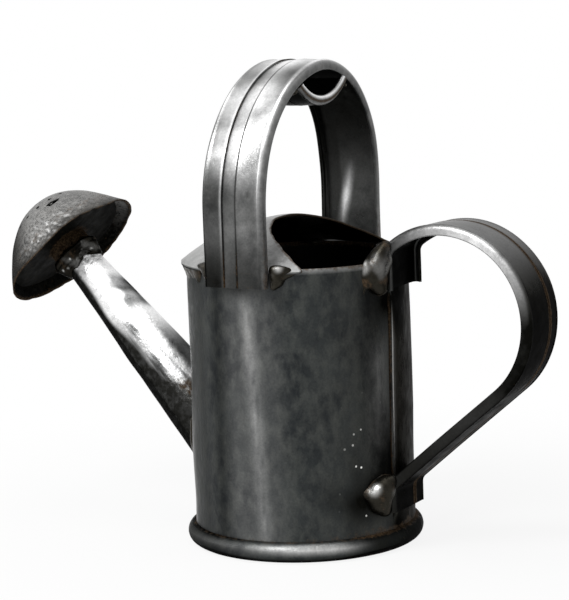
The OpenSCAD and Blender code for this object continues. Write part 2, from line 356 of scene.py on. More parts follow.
# the dark brown stain colour serves real stains and painted shade alike
RUST, RUST_LIGHT, STAIN_AND_SHADE, FLECK = "#33271c", "#5a4a38", "#2b2720", "#f0f0ec"


# the palest colour is laid on for wear and for painted highlights, the darkest for grime and for
# painted shade
def old_metal(name, dull, mid, pale, grime_and_shade="#0e0e0c", wear_and_highlight="#c9c9c8", metallic=0.9,
              rough=(0.34, 0.52), cloud=22.0, streak=None, bump=0.35, pit=0.0, fleck=False):
    """A material; cloud is the size of the film's clouds in mm, streak their stretch along Z, bump
    the height of its relief in mm, pit the depth of its pits beside that, and fleck adds flecks."""
    finish = bpy.data.materials.new(name)
    tree = bare_tree(finish)
    place = drawn = add(tree, "ShaderNodeTexCoord").outputs["Object"]
    if streak:
        drawn = add(tree, "ShaderNodeMapping", {"Vector": place, "Scale": (1, 1, 1 / streak)}
                    ).outputs["Vector"]

    noise = {}
    for key, size, vector, detail, roughness in (
            ("clouds", cloud, drawn, 6.0, 0.6), ("blotches", cloud / 5, drawn, 5.0, 0.6),
            ("grain", GRAIN, place, 3.0, 0.55), ("scale", RUST_SCALE, place, 6.0, 0.7),
            ("rust grain", RUST_GRAIN, place, 4.0, 0.55), ("pits", PIT, place, 3.0, 0.6)):
        noise[key] = add(tree, "ShaderNodeTexNoise", {
            "Vector": vector, "Scale": 1 / (size * MM), "Detail": detail,
            "Roughness": roughness}).outputs["Fac"]

    # where each kind of wear, painted highlight and painted shade lies is painted on the meshes
    mask = {layer: add(tree, "ShaderNodeAttribute", attribute_name=layer).outputs["Fac"]
            for layer in ("stain_and_shade", "wear_and_highlight", "grime_and_shade", "rust", "fleck", "pit")}
    rust_here = add(tree, "ShaderNodeMath", {0: mask["rust"], 1: noise["scale"]},
                    operation="ADD", use_clamp=True).outputs[0]
    spots = add(tree, "ShaderNodeTexVoronoi", {
        "Vector": place, "Scale": 1 / (FLECK_GAP * MM)}).outputs["Distance"]

    # each pattern is stretched to the range in which it works
    level = {}
    for key, source, low, high, out_low, out_high in (
            ("clouded", noise["clouds"], 0.4, 0.6, 0.0, 1.0),
            ("blotched", noise["blotches"], 0.4, 0.85, 0.0, 1.0),
            ("broken", noise["blotches"], 0.25, 0.75, 0.7, 1.15),
            ("spread", noise["blotches"], 0.25, 0.75, 0.86, 1.1),
            ("roughness", noise["blotches"], 0.3, 0.7, *rough),
            ("grainy", noise["grain"], 0.3, 0.7, 0.86, 1.1),
            ("rusting", rust_here, 0.78, 1.05, 0.0, 1.0),
            ("rust tint", noise["rust grain"], 0.4, 0.65, 0.0, 1.0),
            ("pits", noise["pits"], 0.34, 0.46, 0.0, 1.0),
            ("spots", spots, 0.09, 0.12, 1.0, 0.0)):
        level[key] = add(tree, "ShaderNodeMapRange", {
            "Value": source, "From Min": low, "From Max": high, "To Min": out_low,
            "To Max": out_high}, clamp=True).outputs["Result"]
    amount = {}
    for layer, pattern in (("stain_and_shade", "broken"), ("wear_and_highlight", "broken"), ("grime_and_shade", "spread"),
                           ("fleck", "spots")):
        amount[layer] = add(tree, "ShaderNodeMath", {0: mask[layer], 1: level[pattern]},
                            operation="MULTIPLY", use_clamp=True).outputs[0]

    # the colours lie over one another like coats
    rust_colour = add(tree, "ShaderNodeMix", {
        "Factor": level["rust tint"], "A": linear(RUST), "B": linear(RUST_LIGHT)},
        data_type="RGBA").outputs["Result"]
    coats = [(level["clouded"], linear(mid)), (level["blotched"], linear(pale)),
             (amount["stain_and_shade"], linear(STAIN_AND_SHADE)), (amount["wear_and_highlight"], linear(wear_and_highlight)),
             (amount["grime_and_shade"], linear(grime_and_shade)), (level["rusting"], rust_colour)]
    if fleck:
        coats.append((amount["fleck"], linear(FLECK)))
    colour = linear(dull)
    for share, coat in coats:
        colour = add(tree, "ShaderNodeMix", {"Factor": share, "A": colour, "B": coat},
                     data_type="RGBA").outputs["Result"]
    colour = add(tree, "ShaderNodeMix", {"Factor": 1.0, "A": colour, "B": level["grainy"]},
                 data_type="RGBA", blend_type="MULTIPLY").outputs["Result"]

    # rust is rough and hardly metallic, and holes is 1 where no pit is painted
    rough_all, metal_all, holes = (
        add(tree, "ShaderNodeMix", {"Factor": share, "A": first, "B": second}).outputs["Result"]
        for share, first, second in ((level["rusting"], level["roughness"], 0.85),
                                     (level["rusting"], metallic, 0.1),
                                     (mask["pit"], 1.0, level["pits"])))
    height = add(tree, "ShaderNodeMath", {0: noise["blotches"], 1: 0.8}, operation="MULTIPLY"
                 ).outputs[0]
    reliefs = [(noise["grain"], 0.12)]
    if pit:
        reliefs.append((holes, pit))
    for pattern, depth in reliefs:
        height = add(tree, "ShaderNodeMath", {0: pattern, 1: depth, 2: height},
                     operation="MULTIPLY_ADD").outputs[0]
    relief = add(tree, "ShaderNodeBump", {"Strength": 1.0, "Distance": bump * MM,
                                          "Height": height}).outputs["Normal"]

    # grime and painted shade are matt, so they also take away the gleam that metal keeps at a glancing
    # angle
    gleam = add(tree, "ShaderNodeMapRange", {
        "Value": amount["grime_and_shade"], "From Min": 0.0, "From Max": 1.0, "To Min": 0.5,
        "To Max": 0.05}, clamp=True).outputs["Result"]
    tint = add(tree, "ShaderNodeMix", {
        "Factor": amount["grime_and_shade"], "A": linear("#ffffff"), "B": linear("#0c0c0c")},
        data_type="RGBA").outputs["Result"]
    shader = add(tree, "ShaderNodeBsdfPrincipled", {
        "Base Color": colour, "Metallic": metal_all, "Roughness": rough_all, "Normal": relief,
        "Specular IOR Level": gleam, "Specular Tint": tint})
    add(tree, "ShaderNodeOutputMaterial", {"Surface": shader.outputs["BSDF"]})
    print("finish", name, len(tree.nodes), "nodes")
    return finish


# %% [markdown]
# The can's own finishes
# One recipe serves every sheet of the can, because all of it began as the same tinned iron. What
# sets the pieces apart is how much light the film throws back and how far it has broken down.

# %% The can's own finishes
# rolled tinned sheet gone cloudy and dark: soft broad reflections, faint upright streaks
tarnished_tinplate = old_metal("tarnished_tinplate", "#232628", "#363939", "#4e504d",
                               cloud=24, streak=1.6, fleck=True)
# the base and the inside of the rose: the same sheet nearly black with no gleam, as painted shade
shade_black_tinplate = old_metal("shade_black_tinplate", "#0d0e0c", "#1b1c19", "#2c2c28",
                               metallic=0.5, rough=(0.55, 0.75))
# folded strap, soft-glossy: pale where hands polished it and where a highlight is painted, with
# painted shade in its folds
polished_and_highlit_strap = old_metal("polished_and_highlit_strap", "#393a3a", "#525352", "#6a6a69",
                              wear_and_highlight="#f0f0f0", rough=(0.26, 0.38), cloud=30, bump=0.25)
# drawn-up spout: the brightest sheet on the can, its palest coat laid on as a painted highlight,
# with dark scuffs
bright_spout_tin = old_metal("bright_spout_tin", "#77787a", "#a3a4a4", "#c9caca",
                             grime_and_shade="#232321", wear_and_highlight="#f2f2f2", rough=(0.25, 0.45), cloud=14)
# pitted rose: the wettest piece, grey scale with eaten spots and rust round its edge
pitted_rose_tin = old_metal("pitted_rose_tin", "#252422", "#42403d", "#6c6a66",
                            metallic=0.8, rough=(0.42, 0.62), cloud=12, pit=3.0)
# old plumber's solder: lumpy lead and tin with a painted highlight as the waxy shine on the tops,
# and grime and painted shade in patches
lumpy_solder = old_metal("lumpy_solder", "#272521", "#38362f", "#524f47", grime_and_shade="#100f0d",
                         wear_and_highlight="#ececea", rough=(0.24, 0.38), cloud=14, bump=0.4)

# %% [markdown]
# Body wall
# The body is one sheet rolled round and lapped at the seam under the side handle, where the outer
# layer stands a sheet's thickness proud. A turned grid gives the cylinder. Extra columns at the
# seam carry its step and the dark gap, and shallow dents break the long reflections.

# %% Body wall
def wall_columns():
    """Azimuths in degrees: even all round, and close together across the seam."""
    even = np.arange(-180, 180, 1.5)
    even = even[np.abs(even - LAP_ANGLE) > 2.2]
    return np.sort(np.concatenate([even, np.arange(LAP_ANGLE - 2, LAP_ANGLE + 2.1, 0.16)]))


def seam_step(turn, z):
    """How far the wall stands out of its circle beside the seam."""
    beside = turn - LAP_ANGLE
    along = ramp(z, 12, 18) * (1 - ramp(z, 113, 117))
    lap = 0.85 * ramp(beside, -0.1, 0.12) * (1 - ramp(beside, 2, 26))
    gap = -0.6 * ramp(beside, -1.25, -0.8) * (1 - ramp(beside, -0.22, -0.05))
    return along * (lap + gap * (0.6 + 0.4 * np.sin(z / 9)))


def build_body_wall():
    turn = wall_columns()
    heights = np.concatenate([[0.0, 0.35], np.arange(1.6, RIM_Z - 1, 1.6), [RIM_Z - 0.4, RIM_Z]])
    z, a = np.meshgrid(heights, turn, indexing="ij")
    dents = waves(np.stack([50 * np.cos(np.radians(a)), 50 * np.sin(np.radians(a)), z * 0.8], -1),
                  34, seed=11) * 0.28 * ramp(z, 8, 22) * (1 - ramp(z, 112, 126))
    edge = 0.25 * (ramp(z, RIM_Z - 0.6, RIM_Z) + ramp(0.5 - z, 0, 0.5))
    outer_r = BODY_R + np.minimum(dents, 0.25) + seam_step(a, z) - edge
    inner_r = BODY_R - SHEET + np.minimum(dents, 0.25) + edge * 0.5
    sides = []
    for r in (outer_r, inner_r):
        sides.append(np.stack([r * np.cos(np.radians(a)), r * np.sin(np.radians(a)), z], -1))
    points, faces = shell(*sides, wrap=True)
    piece = make_piece("body_wall_sheet", points, faces, "body_wall")
    cut(piece, spout_cutter(-SHEET, -40, 12))
    share_unevenness(piece)
    p = get_points(piece)
    a, z, r = azimuth(p), p[:, 2], np.hypot(p[:, 0], p[:, 1])
    inside = (r < BODY_R - SHEET / 2 - FIT) * 1.0
    beside = a - LAP_ANGLE
    patches = 0.5 + 0.5 * waves(p * [1, 1, 0.7], 16, seed=13)
    gap = near(beside, -0.65, 1.2) * ramp(z, 14, 19) * (1 - ramp(z, 110, 116))
    # the side towards the handle is painted browner and darker, and the sheet past the seam most
    # of all
    brown = ramp(a, -66, -20) * (1 - ramp(a, 60, 100))
    panel = ramp(beside, -0.3, 0.4) * (1 - ramp(a, 60, 100))
    # painted shade round both ends of the side handle, where the strap shades the wall, and darker
    # low down beside the seam
    handle_shade = np.maximum(near(np.hypot((a + 17) * 0.87, z - 26), 0, 19),
                        near(np.hypot((a + 10) * 0.87, z - 112), 0, 21))
    seam_foot_dark = near(a, -6, 11) * near(z, 11, 9)
    # a painted dark reflection, a band down the left side
    dark_reflection_band = 0.4 * near(a, -106, 12) + 0.3 * ramp(-a, 112, 120) * (1 - ramp(-a, 150, 175))
    # painted shadow under and beside the near leg's foot
    leg_shadow = (0.5 * near(a, -72, 14) * near(z, 116, 10) * patches
                + 0.8 * near(a, -90, 24) * near(z, 120, 6))
    # darker low down on the right
    low_cloud = (0.7 * patches * near(a, -38, 34) * near(z, 24, 38)
                 + 0.4 * near(a, -34, 17) * near(z, 36, 30))
    # the inner face is painted dark as shade; the seam's gap is dark too
    paint(piece, "grime_and_shade", inside + gap + 1.1 * handle_shade + 0.85 * seam_foot_dark + dark_reflection_band + 0.1 * brown
          + leg_shadow + 0.5 * panel * ramp(beside, 1.2, 4) + low_cloud)
    paint(piece, "stain_and_shade", (1 - inside) * (0.22 * brown + 0.5 * panel))
    # a painted reflection, a pale streak with a darker crease in it, runs down below the near leg,
    # leaning a little
    streak_turn = -87.5 + (116 - z) * 0.064
    crease = 1 - 0.6 * near(a, streak_turn + 1.2 + 0.8 * np.sin(z / 5), 0.9)
    streak = near(a, streak_turn, 6.5) * (0.5 + 0.5 * patches) * crease
    soft_band = near(a, -18, 10) * ramp(z, 36, 60) * (1 - ramp(z, 84, 98))
    seam_lip_highlight = near(beside, 0.75, 0.9) * ramp(z, 18, 40)
    wide_band = ramp(-a, 62, 84) * (1 - ramp(-a, 94, 106))
    left_edge_highlight = ramp(-a, 134, 144) * (1 - ramp(-a, 150, 172))
    # painted highlights: the lip beside the seam, a soft band, the left edge brightening downwards and
    # a faint band at the front; the rim edge is pale
    paint(piece, "wear_and_highlight", (1 - inside) * (
        0.42 * streak * (0.7 + 0.3 * ramp(z, 20, 60)) + 0.2 * soft_band + 0.8 * seam_lip_highlight
        + 0.5 * ramp(z, RIM_Z - 1.2, RIM_Z) + 0.1 * wide_band
        + (0.12 + 0.4 * (1 - ramp(z, 20, 110))) * left_edge_highlight))
    paint(piece, "rust", 0.16 * brown + 0.5 * gap + 0.42 * ramp(z, RIM_Z - 1.5, RIM_Z)
          + 0.3 * near(z, 9, 5) + 0.15 * inside)
    paint(piece, "fleck", 1.8 * near(a, -27, 17) * near(z, 38, 38))
    piece.data.materials.append(tarnished_tinplate)


# %% [markdown]
# Spout frame
# Spout and rose share one slanted axis that leaves the wall at the height where it was cut. Its
# points are worked out upright, as if on a lathe, and then leaned over.

# %% Spout frame
SPOUT_TILT = math.radians(45.7)
SPOUT_LEN, ROOT_R, TIP_R, SPOUT_Z = 105.0, 16.1, 8.0, 51.7
ALONG = np.array([-math.cos(SPOUT_TILT), 0, math.sin(SPOUT_TILT)])
ABOVE = np.array([math.sin(SPOUT_TILT), 0, math.cos(SPOUT_TILT)])
ACROSS = np.array([0.0, 1.0, 0.0])
SPOUT_ROOT = np.array([-BODY_R, 0, SPOUT_Z])


def lean(points, start=0.0):
    """Upright points put on the spout's axis, a distance start from the wall."""
    points = np.asarray(points, float)
    return (SPOUT_ROOT + points[..., 0:1] * ABOVE + points[..., 1:2] * ACROSS
            + (points[..., 2:3] + start) * ALONG)


def unlean(points, start=0.0):
    """The reverse: points back in the upright frame."""
    gone = points - SPOUT_ROOT
    return np.stack([gone @ ABOVE, gone @ ACROSS, gone @ ALONG - start], -1)


def spout_r(s):
    """Outside radius of the tube at a distance s from the wall."""
    return ROOT_R + (TIP_R - ROOT_R) * s / SPOUT_LEN


def spout_cutter(grow, start, end):
    """A stretch of the spout as a solid, for the hole in the wall."""
    grid, faces = solid_turned([(spout_r(start) + grow, start), (spout_r(end) + grow, end)])
    return cutter_from(lean(grid), faces)


# %% [markdown]
# Foot hoop
# A half-round bead of sheet is wrapped round the foot to stiffen it. Its section is an open arc,
# turned about the axis, and a few nicks and flats spoil the highlight along it.

# %% Foot hoop
def build_foot_hoop():
    half = HOOP_H / 2
    centre_r = HOOP_R - half
    arcs = []
    for r in (half, half - SHEET):
        limit = math.acos((BODY_R + FIT - centre_r) / r)     # where the bead meets the wall
        sweep = np.linspace(-limit, limit, 25)
        arcs.append(turned(np.stack([centre_r + r * np.cos(sweep), half + r * np.sin(sweep)], 1),
                           320))
    flat = 0.35 * np.maximum(waves(arcs[0], 16, seed=21) - 0.5, 0)
    for side in arcs:
        radius = np.hypot(side[..., 0], side[..., 1])
        side[..., :2] *= ((radius - flat) / radius)[..., None]
    points, faces = shell(*arcs, wrap=True)
    piece = make_piece("foot_hoop_bead", points, faces, "foot_hoop")
    p = get_points(piece)
    a, z = azimuth(p), p[:, 2]
    # painted shade round the side under the side handle, on the spout side, underneath and in the
    # crease at the wall, and a painted highlight along the top of the bead at the front
    dark = ramp(a, -50, -22) * (1 - ramp(a, 70, 110))
    sheen_and_wear_weight = 0.2 + 0.8 * ramp(a, -94, -60)
    paint(piece, "wear_and_highlight", 0.85 * near(z, 6.2, 3.2) * (1 - dark) * sheen_and_wear_weight)
    paint(piece, "grime_and_shade", 0.85 * (1 - ramp(z, 1.2, 3.6)) + 0.8 * dark + 0.5 * ramp(z, 8.2, 9.3)
          + 0.6 * (1 - ramp(a, -114, -82)))
    paint(piece, "rust", 0.34 * ramp(z, 7.6, 9.2) + 0.18 * dark + 0.2 * (1 - ramp(z, 0.5, 2)))
    piece.data.materials.append(tarnished_tinplate)


# %% [markdown]
# Base plate
# The bottom is a disc with a turned-down edge, set a little above the ground. It is seen only
# from below and down the mouth, so it gets shallow buckles and a nearly black finish as painted shade.

# %% Base plate
def build_base_plate():
    r = box_mm("base_plate")[1][0]
    outer = [(0.4, BASE_Z)] + [(x, BASE_Z) for x in np.arange(3, r - 1, 2.5)]
    outer += [(r - 0.6, BASE_Z - 0.1), (r, BASE_Z - 0.7), (r, 2.5), (r, 0.0)]
    inner = [(0.4, BASE_Z - SHEET)] + [(x, BASE_Z - SHEET) for x in np.arange(3, r - 1, 2.5)]
    inner += [(r - 1.2, BASE_Z - SHEET - 0.1), (r - SHEET, BASE_Z - 1.5), (r - SHEET, 2.5),
              (r - SHEET, 0.0)]
    sides = []
    for profile in (outer, inner):
        side = turned(profile, 160)
        radius = np.hypot(side[..., 0], side[..., 1])
        side[..., 2] += 0.3 * waves(side * [1, 1, 0], 26, seed=31) * (1 - ramp(radius, 30, 44))
        sides.append(side)
    points, faces = shell(*sides, wrap=True)
    faces = close_pinhole(faces, *sides[0].shape[:2])
    piece = make_piece("base_plate_sheet", points, faces, "base_plate")
    p = get_points(piece)
    paint(piece, "rust", 0.3 + 0.15 * waves(p, 20, seed=32))
    paint(piece, "grime_and_shade", 0.2)
    piece.data.materials.append(shade_black_tinplate)


# %% [markdown]
# Hood
# A piece of shallow dome covers the spout side of the mouth, so water can't slop out as the can
# is tipped. Its edge is part of a circle and its mouth is cut to another, so the grid runs from
# one curve to the other and is lifted onto the dome.

# %% Hood
def build_hood():
    cross_x = (HOOD_EDGE_R ** 2 - MOUTH_R ** 2 + MOUTH_X ** 2) / (2 * MOUTH_X)
    cross_y = math.sqrt(HOOD_EDGE_R ** 2 - cross_x ** 2)
    edge_turn = math.atan2(cross_y, cross_x)
    mouth_turn = math.atan2(cross_y, cross_x - MOUTH_X)
    t = np.linspace(0.008, 0.992, 170)
    edge_a = edge_turn + (2 * math.pi - 2 * edge_turn) * t
    mouth_a = mouth_turn + (2 * math.pi - 2 * mouth_turn) * t
    edge = np.stack([HOOD_EDGE_R * np.cos(edge_a), HOOD_EDGE_R * np.sin(edge_a)], -1)
    mouth = np.stack([MOUTH_X + MOUTH_R * np.cos(mouth_a), MOUTH_R * np.sin(mouth_a)], -1)
    mix = np.linspace(0, 1, 40)[:, None, None]
    flat = edge + (mouth - edge) * mix
    flat[-1] += 0.25 * np.stack([waves(np.c_[flat[-1], 0 * t], 9, seed=42)] * 2, -1)
    reach = np.hypot(flat[..., 0], flat[..., 1])
    sides = []
    for r in (HOOD_R, HOOD_R - SHEET):
        z = HOOD_CENTRE_Z + np.sqrt(np.maximum(r * r - reach ** 2, 1))
        z += 0.35 * waves(np.stack([flat[..., 0], flat[..., 1], 0 * z], -1), 24, seed=41)
        sides.append(np.dstack([flat, z]))
    points, faces = shell(*sides)
    piece = make_piece("hood_sheet", points, faces, "hood")
    share_unevenness(piece)
    p = get_points(piece)
    from_mouth = np.hypot(p[:, 0] - MOUTH_X, p[:, 1]) - MOUTH_R
    dome = np.sqrt(p[:, 0] ** 2 + p[:, 1] ** 2 + (p[:, 2] - HOOD_CENTRE_Z) ** 2)
    under = 1 - ramp(dome, HOOD_R - 0.9, HOOD_R - 0.3)
    # the underside is painted dark as shade, and the top pale as a painted highlight, most towards the
    # spout
    paint(piece, "grime_and_shade", 0.9 * under)
    paint(piece, "wear_and_highlight", 0.62 * (1 - under) * (0.75 + 0.25 * ramp(p[:, 0], 20, -45)))
    paint(piece, "rust", 0.5 * near(from_mouth, 0, 1.4) + 0.12)
    piece.data.materials.append(tarnished_tinplate)


# %% [markdown]
# Folded strap
# Both handles and the grip are strips with their long edges folded over to the outer face and
# their sides turned down into stiff hems. The section is drawn once as two matching lines, the
# outer skin and the inner skin, and carried along a path of straights and bends.

# %% Strap section
FOLD, HEM = 1.4, 0.9      # the two layers of sheet, and the radius of the rolled edge
FINE = (-0.9, -0.45, -0.2, -0.04, 0.04, 0.2, 0.45, 0.9)   # lines added beside a folded edge


def strap_profiles(depth, width, corner, face):
    """Outer and inner lines of the section as (out, across) pairs; face(v) shapes the top."""
    half = width / 2
    turn = np.linspace(0, 1, 7)
    outer, inner = [], []
    for k in turn[:-1]:
        swing = math.pi / 2 * k
        outer.append((HEM - depth - HEM * math.cos(swing), HEM - half - HEM * math.sin(swing)))
        inner.append((HEM - depth - HEM * math.cos(swing), HEM - half + HEM * math.sin(swing)))
    for k in turn:
        u = HEM - depth + (depth - corner - HEM) * k
        outer.append((u, -half))
        inner.append((u, -half + SHEET + (2 * HEM - SHEET) * max(0, 1 - 2.5 * k) ** 2))
    for k in turn[1:-1]:
        swing = math.pi / 2 * k
        outer.append((corner * math.sin(swing) - corner, corner - half - corner * math.cos(swing)))
        inner.append(((corner - FOLD) * math.sin(swing) - corner,
                      corner - half - (corner - SHEET) * math.cos(swing)))
    flat = half - corner
    across = np.unique(np.round(np.concatenate(
        [np.linspace(-flat, flat, 25)] + [e + np.array(FINE) for e in face.edges]), 3))
    for v in across[np.abs(across) <= flat + 1e-6]:
        outer.append((face(v), v))
        inner.append((-FOLD, v))
    left = [q for q in zip(outer, inner) if q[0][1] < -flat - 1e-6]
    for o, i in reversed(left):
        outer.append((o[0], -o[1]))
        inner.append((i[0], -i[1]))
    return np.array(outer), np.array(inner)


class StrapFace:
    """The outer face: two folded flaps either side of a channel, each with a slightly raised lip."""

    def __init__(self, left, right, step_left, step_right, lip=0.18):
        self.edges = (left, right)
        self.left, self.right, self.lip = left, right, lip
        self.step_left, self.step_right = step_left, step_right

    def __call__(self, v):
        crown = -0.012 * abs(v) ** 1.35
        if v <= self.left:
            return crown + self.lip * float(near(v, self.left - 0.3, 1.6))
        if v >= self.right:
            return crown + 0.5 * self.lip * float(near(v, self.right + 0.3, 1.4))
        sink = self.step_left + (self.step_right - self.step_left) * (
            (v - self.left) / (self.right - self.left))
        return crown - sink - 0.35 * float(near(v, self.right - 0.25, 0.4))


def follow(path, profiles, width_way, plane):
    """A strap swept along path points (position, outward direction), both in a plane's two axes."""
    grids = []
    for profile in profiles:
        rows = [[p[0] * plane[0] + p[1] * plane[1] + u * (n[0] * plane[0] + n[1] * plane[1])
                 + v * width_way for u, v in profile] for p, n in path]
        grids.append(np.array(rows))
    return grids


def arc_path(cx, cy, r, start, end, step=1.4, inwards=1):
    """Path points round a bend from one angle to another, in degrees."""
    count = max(3, int(abs(math.radians(end - start)) * r / step))
    out = []
    for angle in np.radians(np.linspace(start, end, count)):
        way = np.array([math.cos(angle), math.sin(angle)])
        out.append((np.array([cx, cy]) + r * way, way * inwards))
    return out


def line_path(start, end, outward, step=2.5):
    """Path points along a straight, with one outward direction."""
    start, end = np.array(start, float), np.array(end, float)
    count = max(2, int(np.linalg.norm(end - start) / step))
    return [(start + (end - start) * k, np.array(outward, float))
            for k in np.linspace(0, 1, count)]


def joined(*stretches):
    """One path from stretches, without the doubled point where two of them meet."""
    path = list(stretches[0])
    for stretch in stretches[1:]:
        path += stretch[1:]
    return path


X, Y, Z = np.eye(3)

# %% [markdown]
# Top handle
# The arch stands on the outside of the wall at both sides. Its legs go straight up, lean in
# through two large curves and meet in a round crown.

# %% Top handle
CROWN_R, CROWN_SHIFT, SPRING_Z, STRAP_DEPTH, CORNER = 48.8, 4.0, 154.0, 5.0, 2.6
CROWN_Z = ARCH_TOP - CROWN_R


def shoulder_r(distance):
    """Radius of the curve from a leg, so far from the crown's centre, into the crown."""
    rise = CROWN_Z - SPRING_Z
    return (rise ** 2 + distance ** 2 - CROWN_R ** 2) / (2 * (distance - CROWN_R))


def arch_path():
    """Up the near leg, over the crown and down the far leg, as (y, z) points."""
    near_r, far_r = shoulder_r(ARCH_NEAR + CROWN_SHIFT), shoulder_r(ARCH_FAR - CROWN_SHIFT)
    near_y, far_y = near_r - ARCH_NEAR, ARCH_FAR - far_r
    rise = CROWN_Z - SPRING_Z
    near_a = math.degrees(math.atan2(rise, CROWN_SHIFT - near_y))
    far_a = math.degrees(math.atan2(rise, CROWN_SHIFT - far_y))
    return joined(
        line_path((-ARCH_NEAR, LEG_END_Z), (-ARCH_NEAR, SPRING_Z), (-1, 0)),
        arc_path(near_y, SPRING_Z, near_r, 180, near_a),
        arc_path(CROWN_SHIFT, CROWN_Z, CROWN_R, near_a, far_a),
        arc_path(far_y, SPRING_Z, far_r, far_a, 0),
        line_path((ARCH_FAR, SPRING_Z), (ARCH_FAR, LEG_END_Z), (1, 0)))


def hood_cutter():
    """The dome's solid with its straight edge, a little oversize."""
    grow = 0.15
    r, edge_r = HOOD_R + grow, HOOD_EDGE_R + grow
    base_z = HOOD_EDGE_Z - grow
    sweep = np.linspace(math.asin(edge_r / r), 0.01, 24)
    profile = [(edge_r, base_z)] + [(r * math.sin(s), HOOD_CENTRE_Z + r * math.cos(s))
                                    for s in sweep]
    grid, faces = solid_turned(profile, 160)
    return cutter_from(grid, faces)


def body_cutter(grow=0.1, top=None):
    """The body as a solid up to its rim or to another height, oversize or undersize by grow."""
    grid, faces = solid_turned([(BODY_R + grow, -5), (BODY_R + grow, top or RIM_Z)], 160)
    return cutter_from(grid, faces)


def strap_outward(p, batch=4000):
    """How far each point lies outside the arch's outer line, along its outward direction."""
    path = arch_path()
    spots = np.array([q[0] for q in path])
    ways = np.array([q[1] for q in path])
    out = np.empty(len(p))
    for i in range(0, len(p), batch):
        part = p[i:i + batch, 1:]
        gap = part[:, None] - spots[None]
        close = np.argmin((gap ** 2).sum(-1), 1)
        pick = gap[np.arange(len(part)), close]
        out[i:i + batch] = (pick * ways[close]).sum(-1)
    return out


def build_top_handle():
    face = StrapFace(-0.15 * STRAP_W, 0.08 * STRAP_W, 0.6, 0.2)
    profiles = strap_profiles(STRAP_DEPTH, STRAP_W, CORNER, face)
    points, faces = shell(*follow(arch_path(), profiles, X, (Y, Z)))
    points = wander(points, 40, 0.18, seed=51)
    piece = make_piece("top_handle_strap", points, faces, "top_handle", 50)
    cut(piece, hood_cutter(), body_cutter())
    share_unevenness(piece)
    p = get_points(piece)
    x, z = p[:, 0], p[:, 2]
    out = strap_outward(p)
    outside = ramp(out, -0.9, -0.2)
    leg_foot = 1 - ramp(z, 124, 152)
    # painted shade and rust in the channel's two steps; a painted highlight on the first step's lip
    step_line = near(x, face.left + 0.15, 0.5) * ramp(out, -1.0, -0.3)
    thin_line = near(x, face.right - 0.2, 0.8) * ramp(out, -1.0, -0.3)
    lip = near(x, face.left - 0.6, 1.1) * outside
    # the face that looks into the arch is painted black as shade, but for one slanting painted
    # gleam on the far leg
    inner = (1 - ramp(out, -1.15, -0.85)) * (1 - ramp(np.abs(x), 13.9, 14.5))
    far_glint = ramp(p[:, 1], 30, 40) * near(x, -4 + (z - 146) * 0.2, 3.6) * near(z, 150, 19)
    rounding = near(x, 13.4, 2.4) * ramp(out, -4.0, -1.0)
    nick = near(np.hypot(x - 8.5, (z - 162) * 0.7), 0, 1.6) * (p[:, 1] < 0) * outside
    sheen_and_wear_weight = 0.6 + 0.5 * waves(p * [1, 1, 0.6], 17, seed=53)
    left_flap = 1 - ramp(x, face.left - 2, face.left)
    # polish and a painted highlight on the outer face, growing upwards, a painted highlight on the
    # right rounding and the lip, and the far leg's painted gleam
    paint(piece, "wear_and_highlight", outside * sheen_and_wear_weight * (1 - thin_line) * (1 - step_line) * (
        0.15 * ramp(z, 128, 150) + ramp(z, 158, 190) * (1 - 0.25 * left_flap))
          + 0.45 * lip * ramp(z, 126, 170) + 0.5 * rounding * ramp(z, 130, 190)
          + 1.5 * inner * far_glint)
    # painted shade in the channel's steps, low on the legs, on the left flap lower down, along the
    # left edge and inside the arch, and a dark nick
    paint(piece, "grime_and_shade", step_line + 1.2 * thin_line + 0.55 * leg_foot * outside + nick
          + 0.35 * left_flap * (1 - ramp(z, 150, 190)) + 0.5 * near(x, -14.3, 1.3)
          + inner * (1 - far_glint) * (0.3 + 0.6 * ramp(z, 146, 188)))
    paint(piece, "rust", 0.5 * step_line + 0.25 * thin_line + 0.2 * leg_foot
          + 0.22 * near(np.abs(x), 15, 1.2) * (1 - outside))
    piece.data.materials.append(polished_and_highlit_strap)


# %% [markdown]
# Grip
# Under the crown a short loop of narrower strap gives the fingers a second ring to hold. It is
# one bend, cut off where it meets the crown's underside.

# %% Grip
GRIP_R, GRIP_SHIFT, GRIP_DROP, GRIP_DEPTH = 31.0, 2.0, 20.5, 4.6
GRIP_GROOVE = 5.1         # where its folded edges meet, across the strap
GRIP_Z = ARCH_TOP - GRIP_DROP + GRIP_R


def crown_cutter():
    """All that lies above the crown's underside, as a thick tube across the can."""
    inner_r, outer_r = CROWN_R - STRAP_DEPTH - FIT, CROWN_R + 20
    turn = np.linspace(0, 2 * math.pi, 160, endpoint=False)
    rings = []
    for r, x in ((inner_r, -30), (outer_r, -30), (outer_r, 30), (inner_r, 30)):
        rings.append(np.stack([x + 0 * turn, CROWN_SHIFT + r * np.cos(turn),
                               CROWN_Z + r * np.sin(turn)], -1))
    grid = np.array(rings)
    return cutter_from(grid.reshape(-1, 3), grid_faces(4, len(turn), True, True))


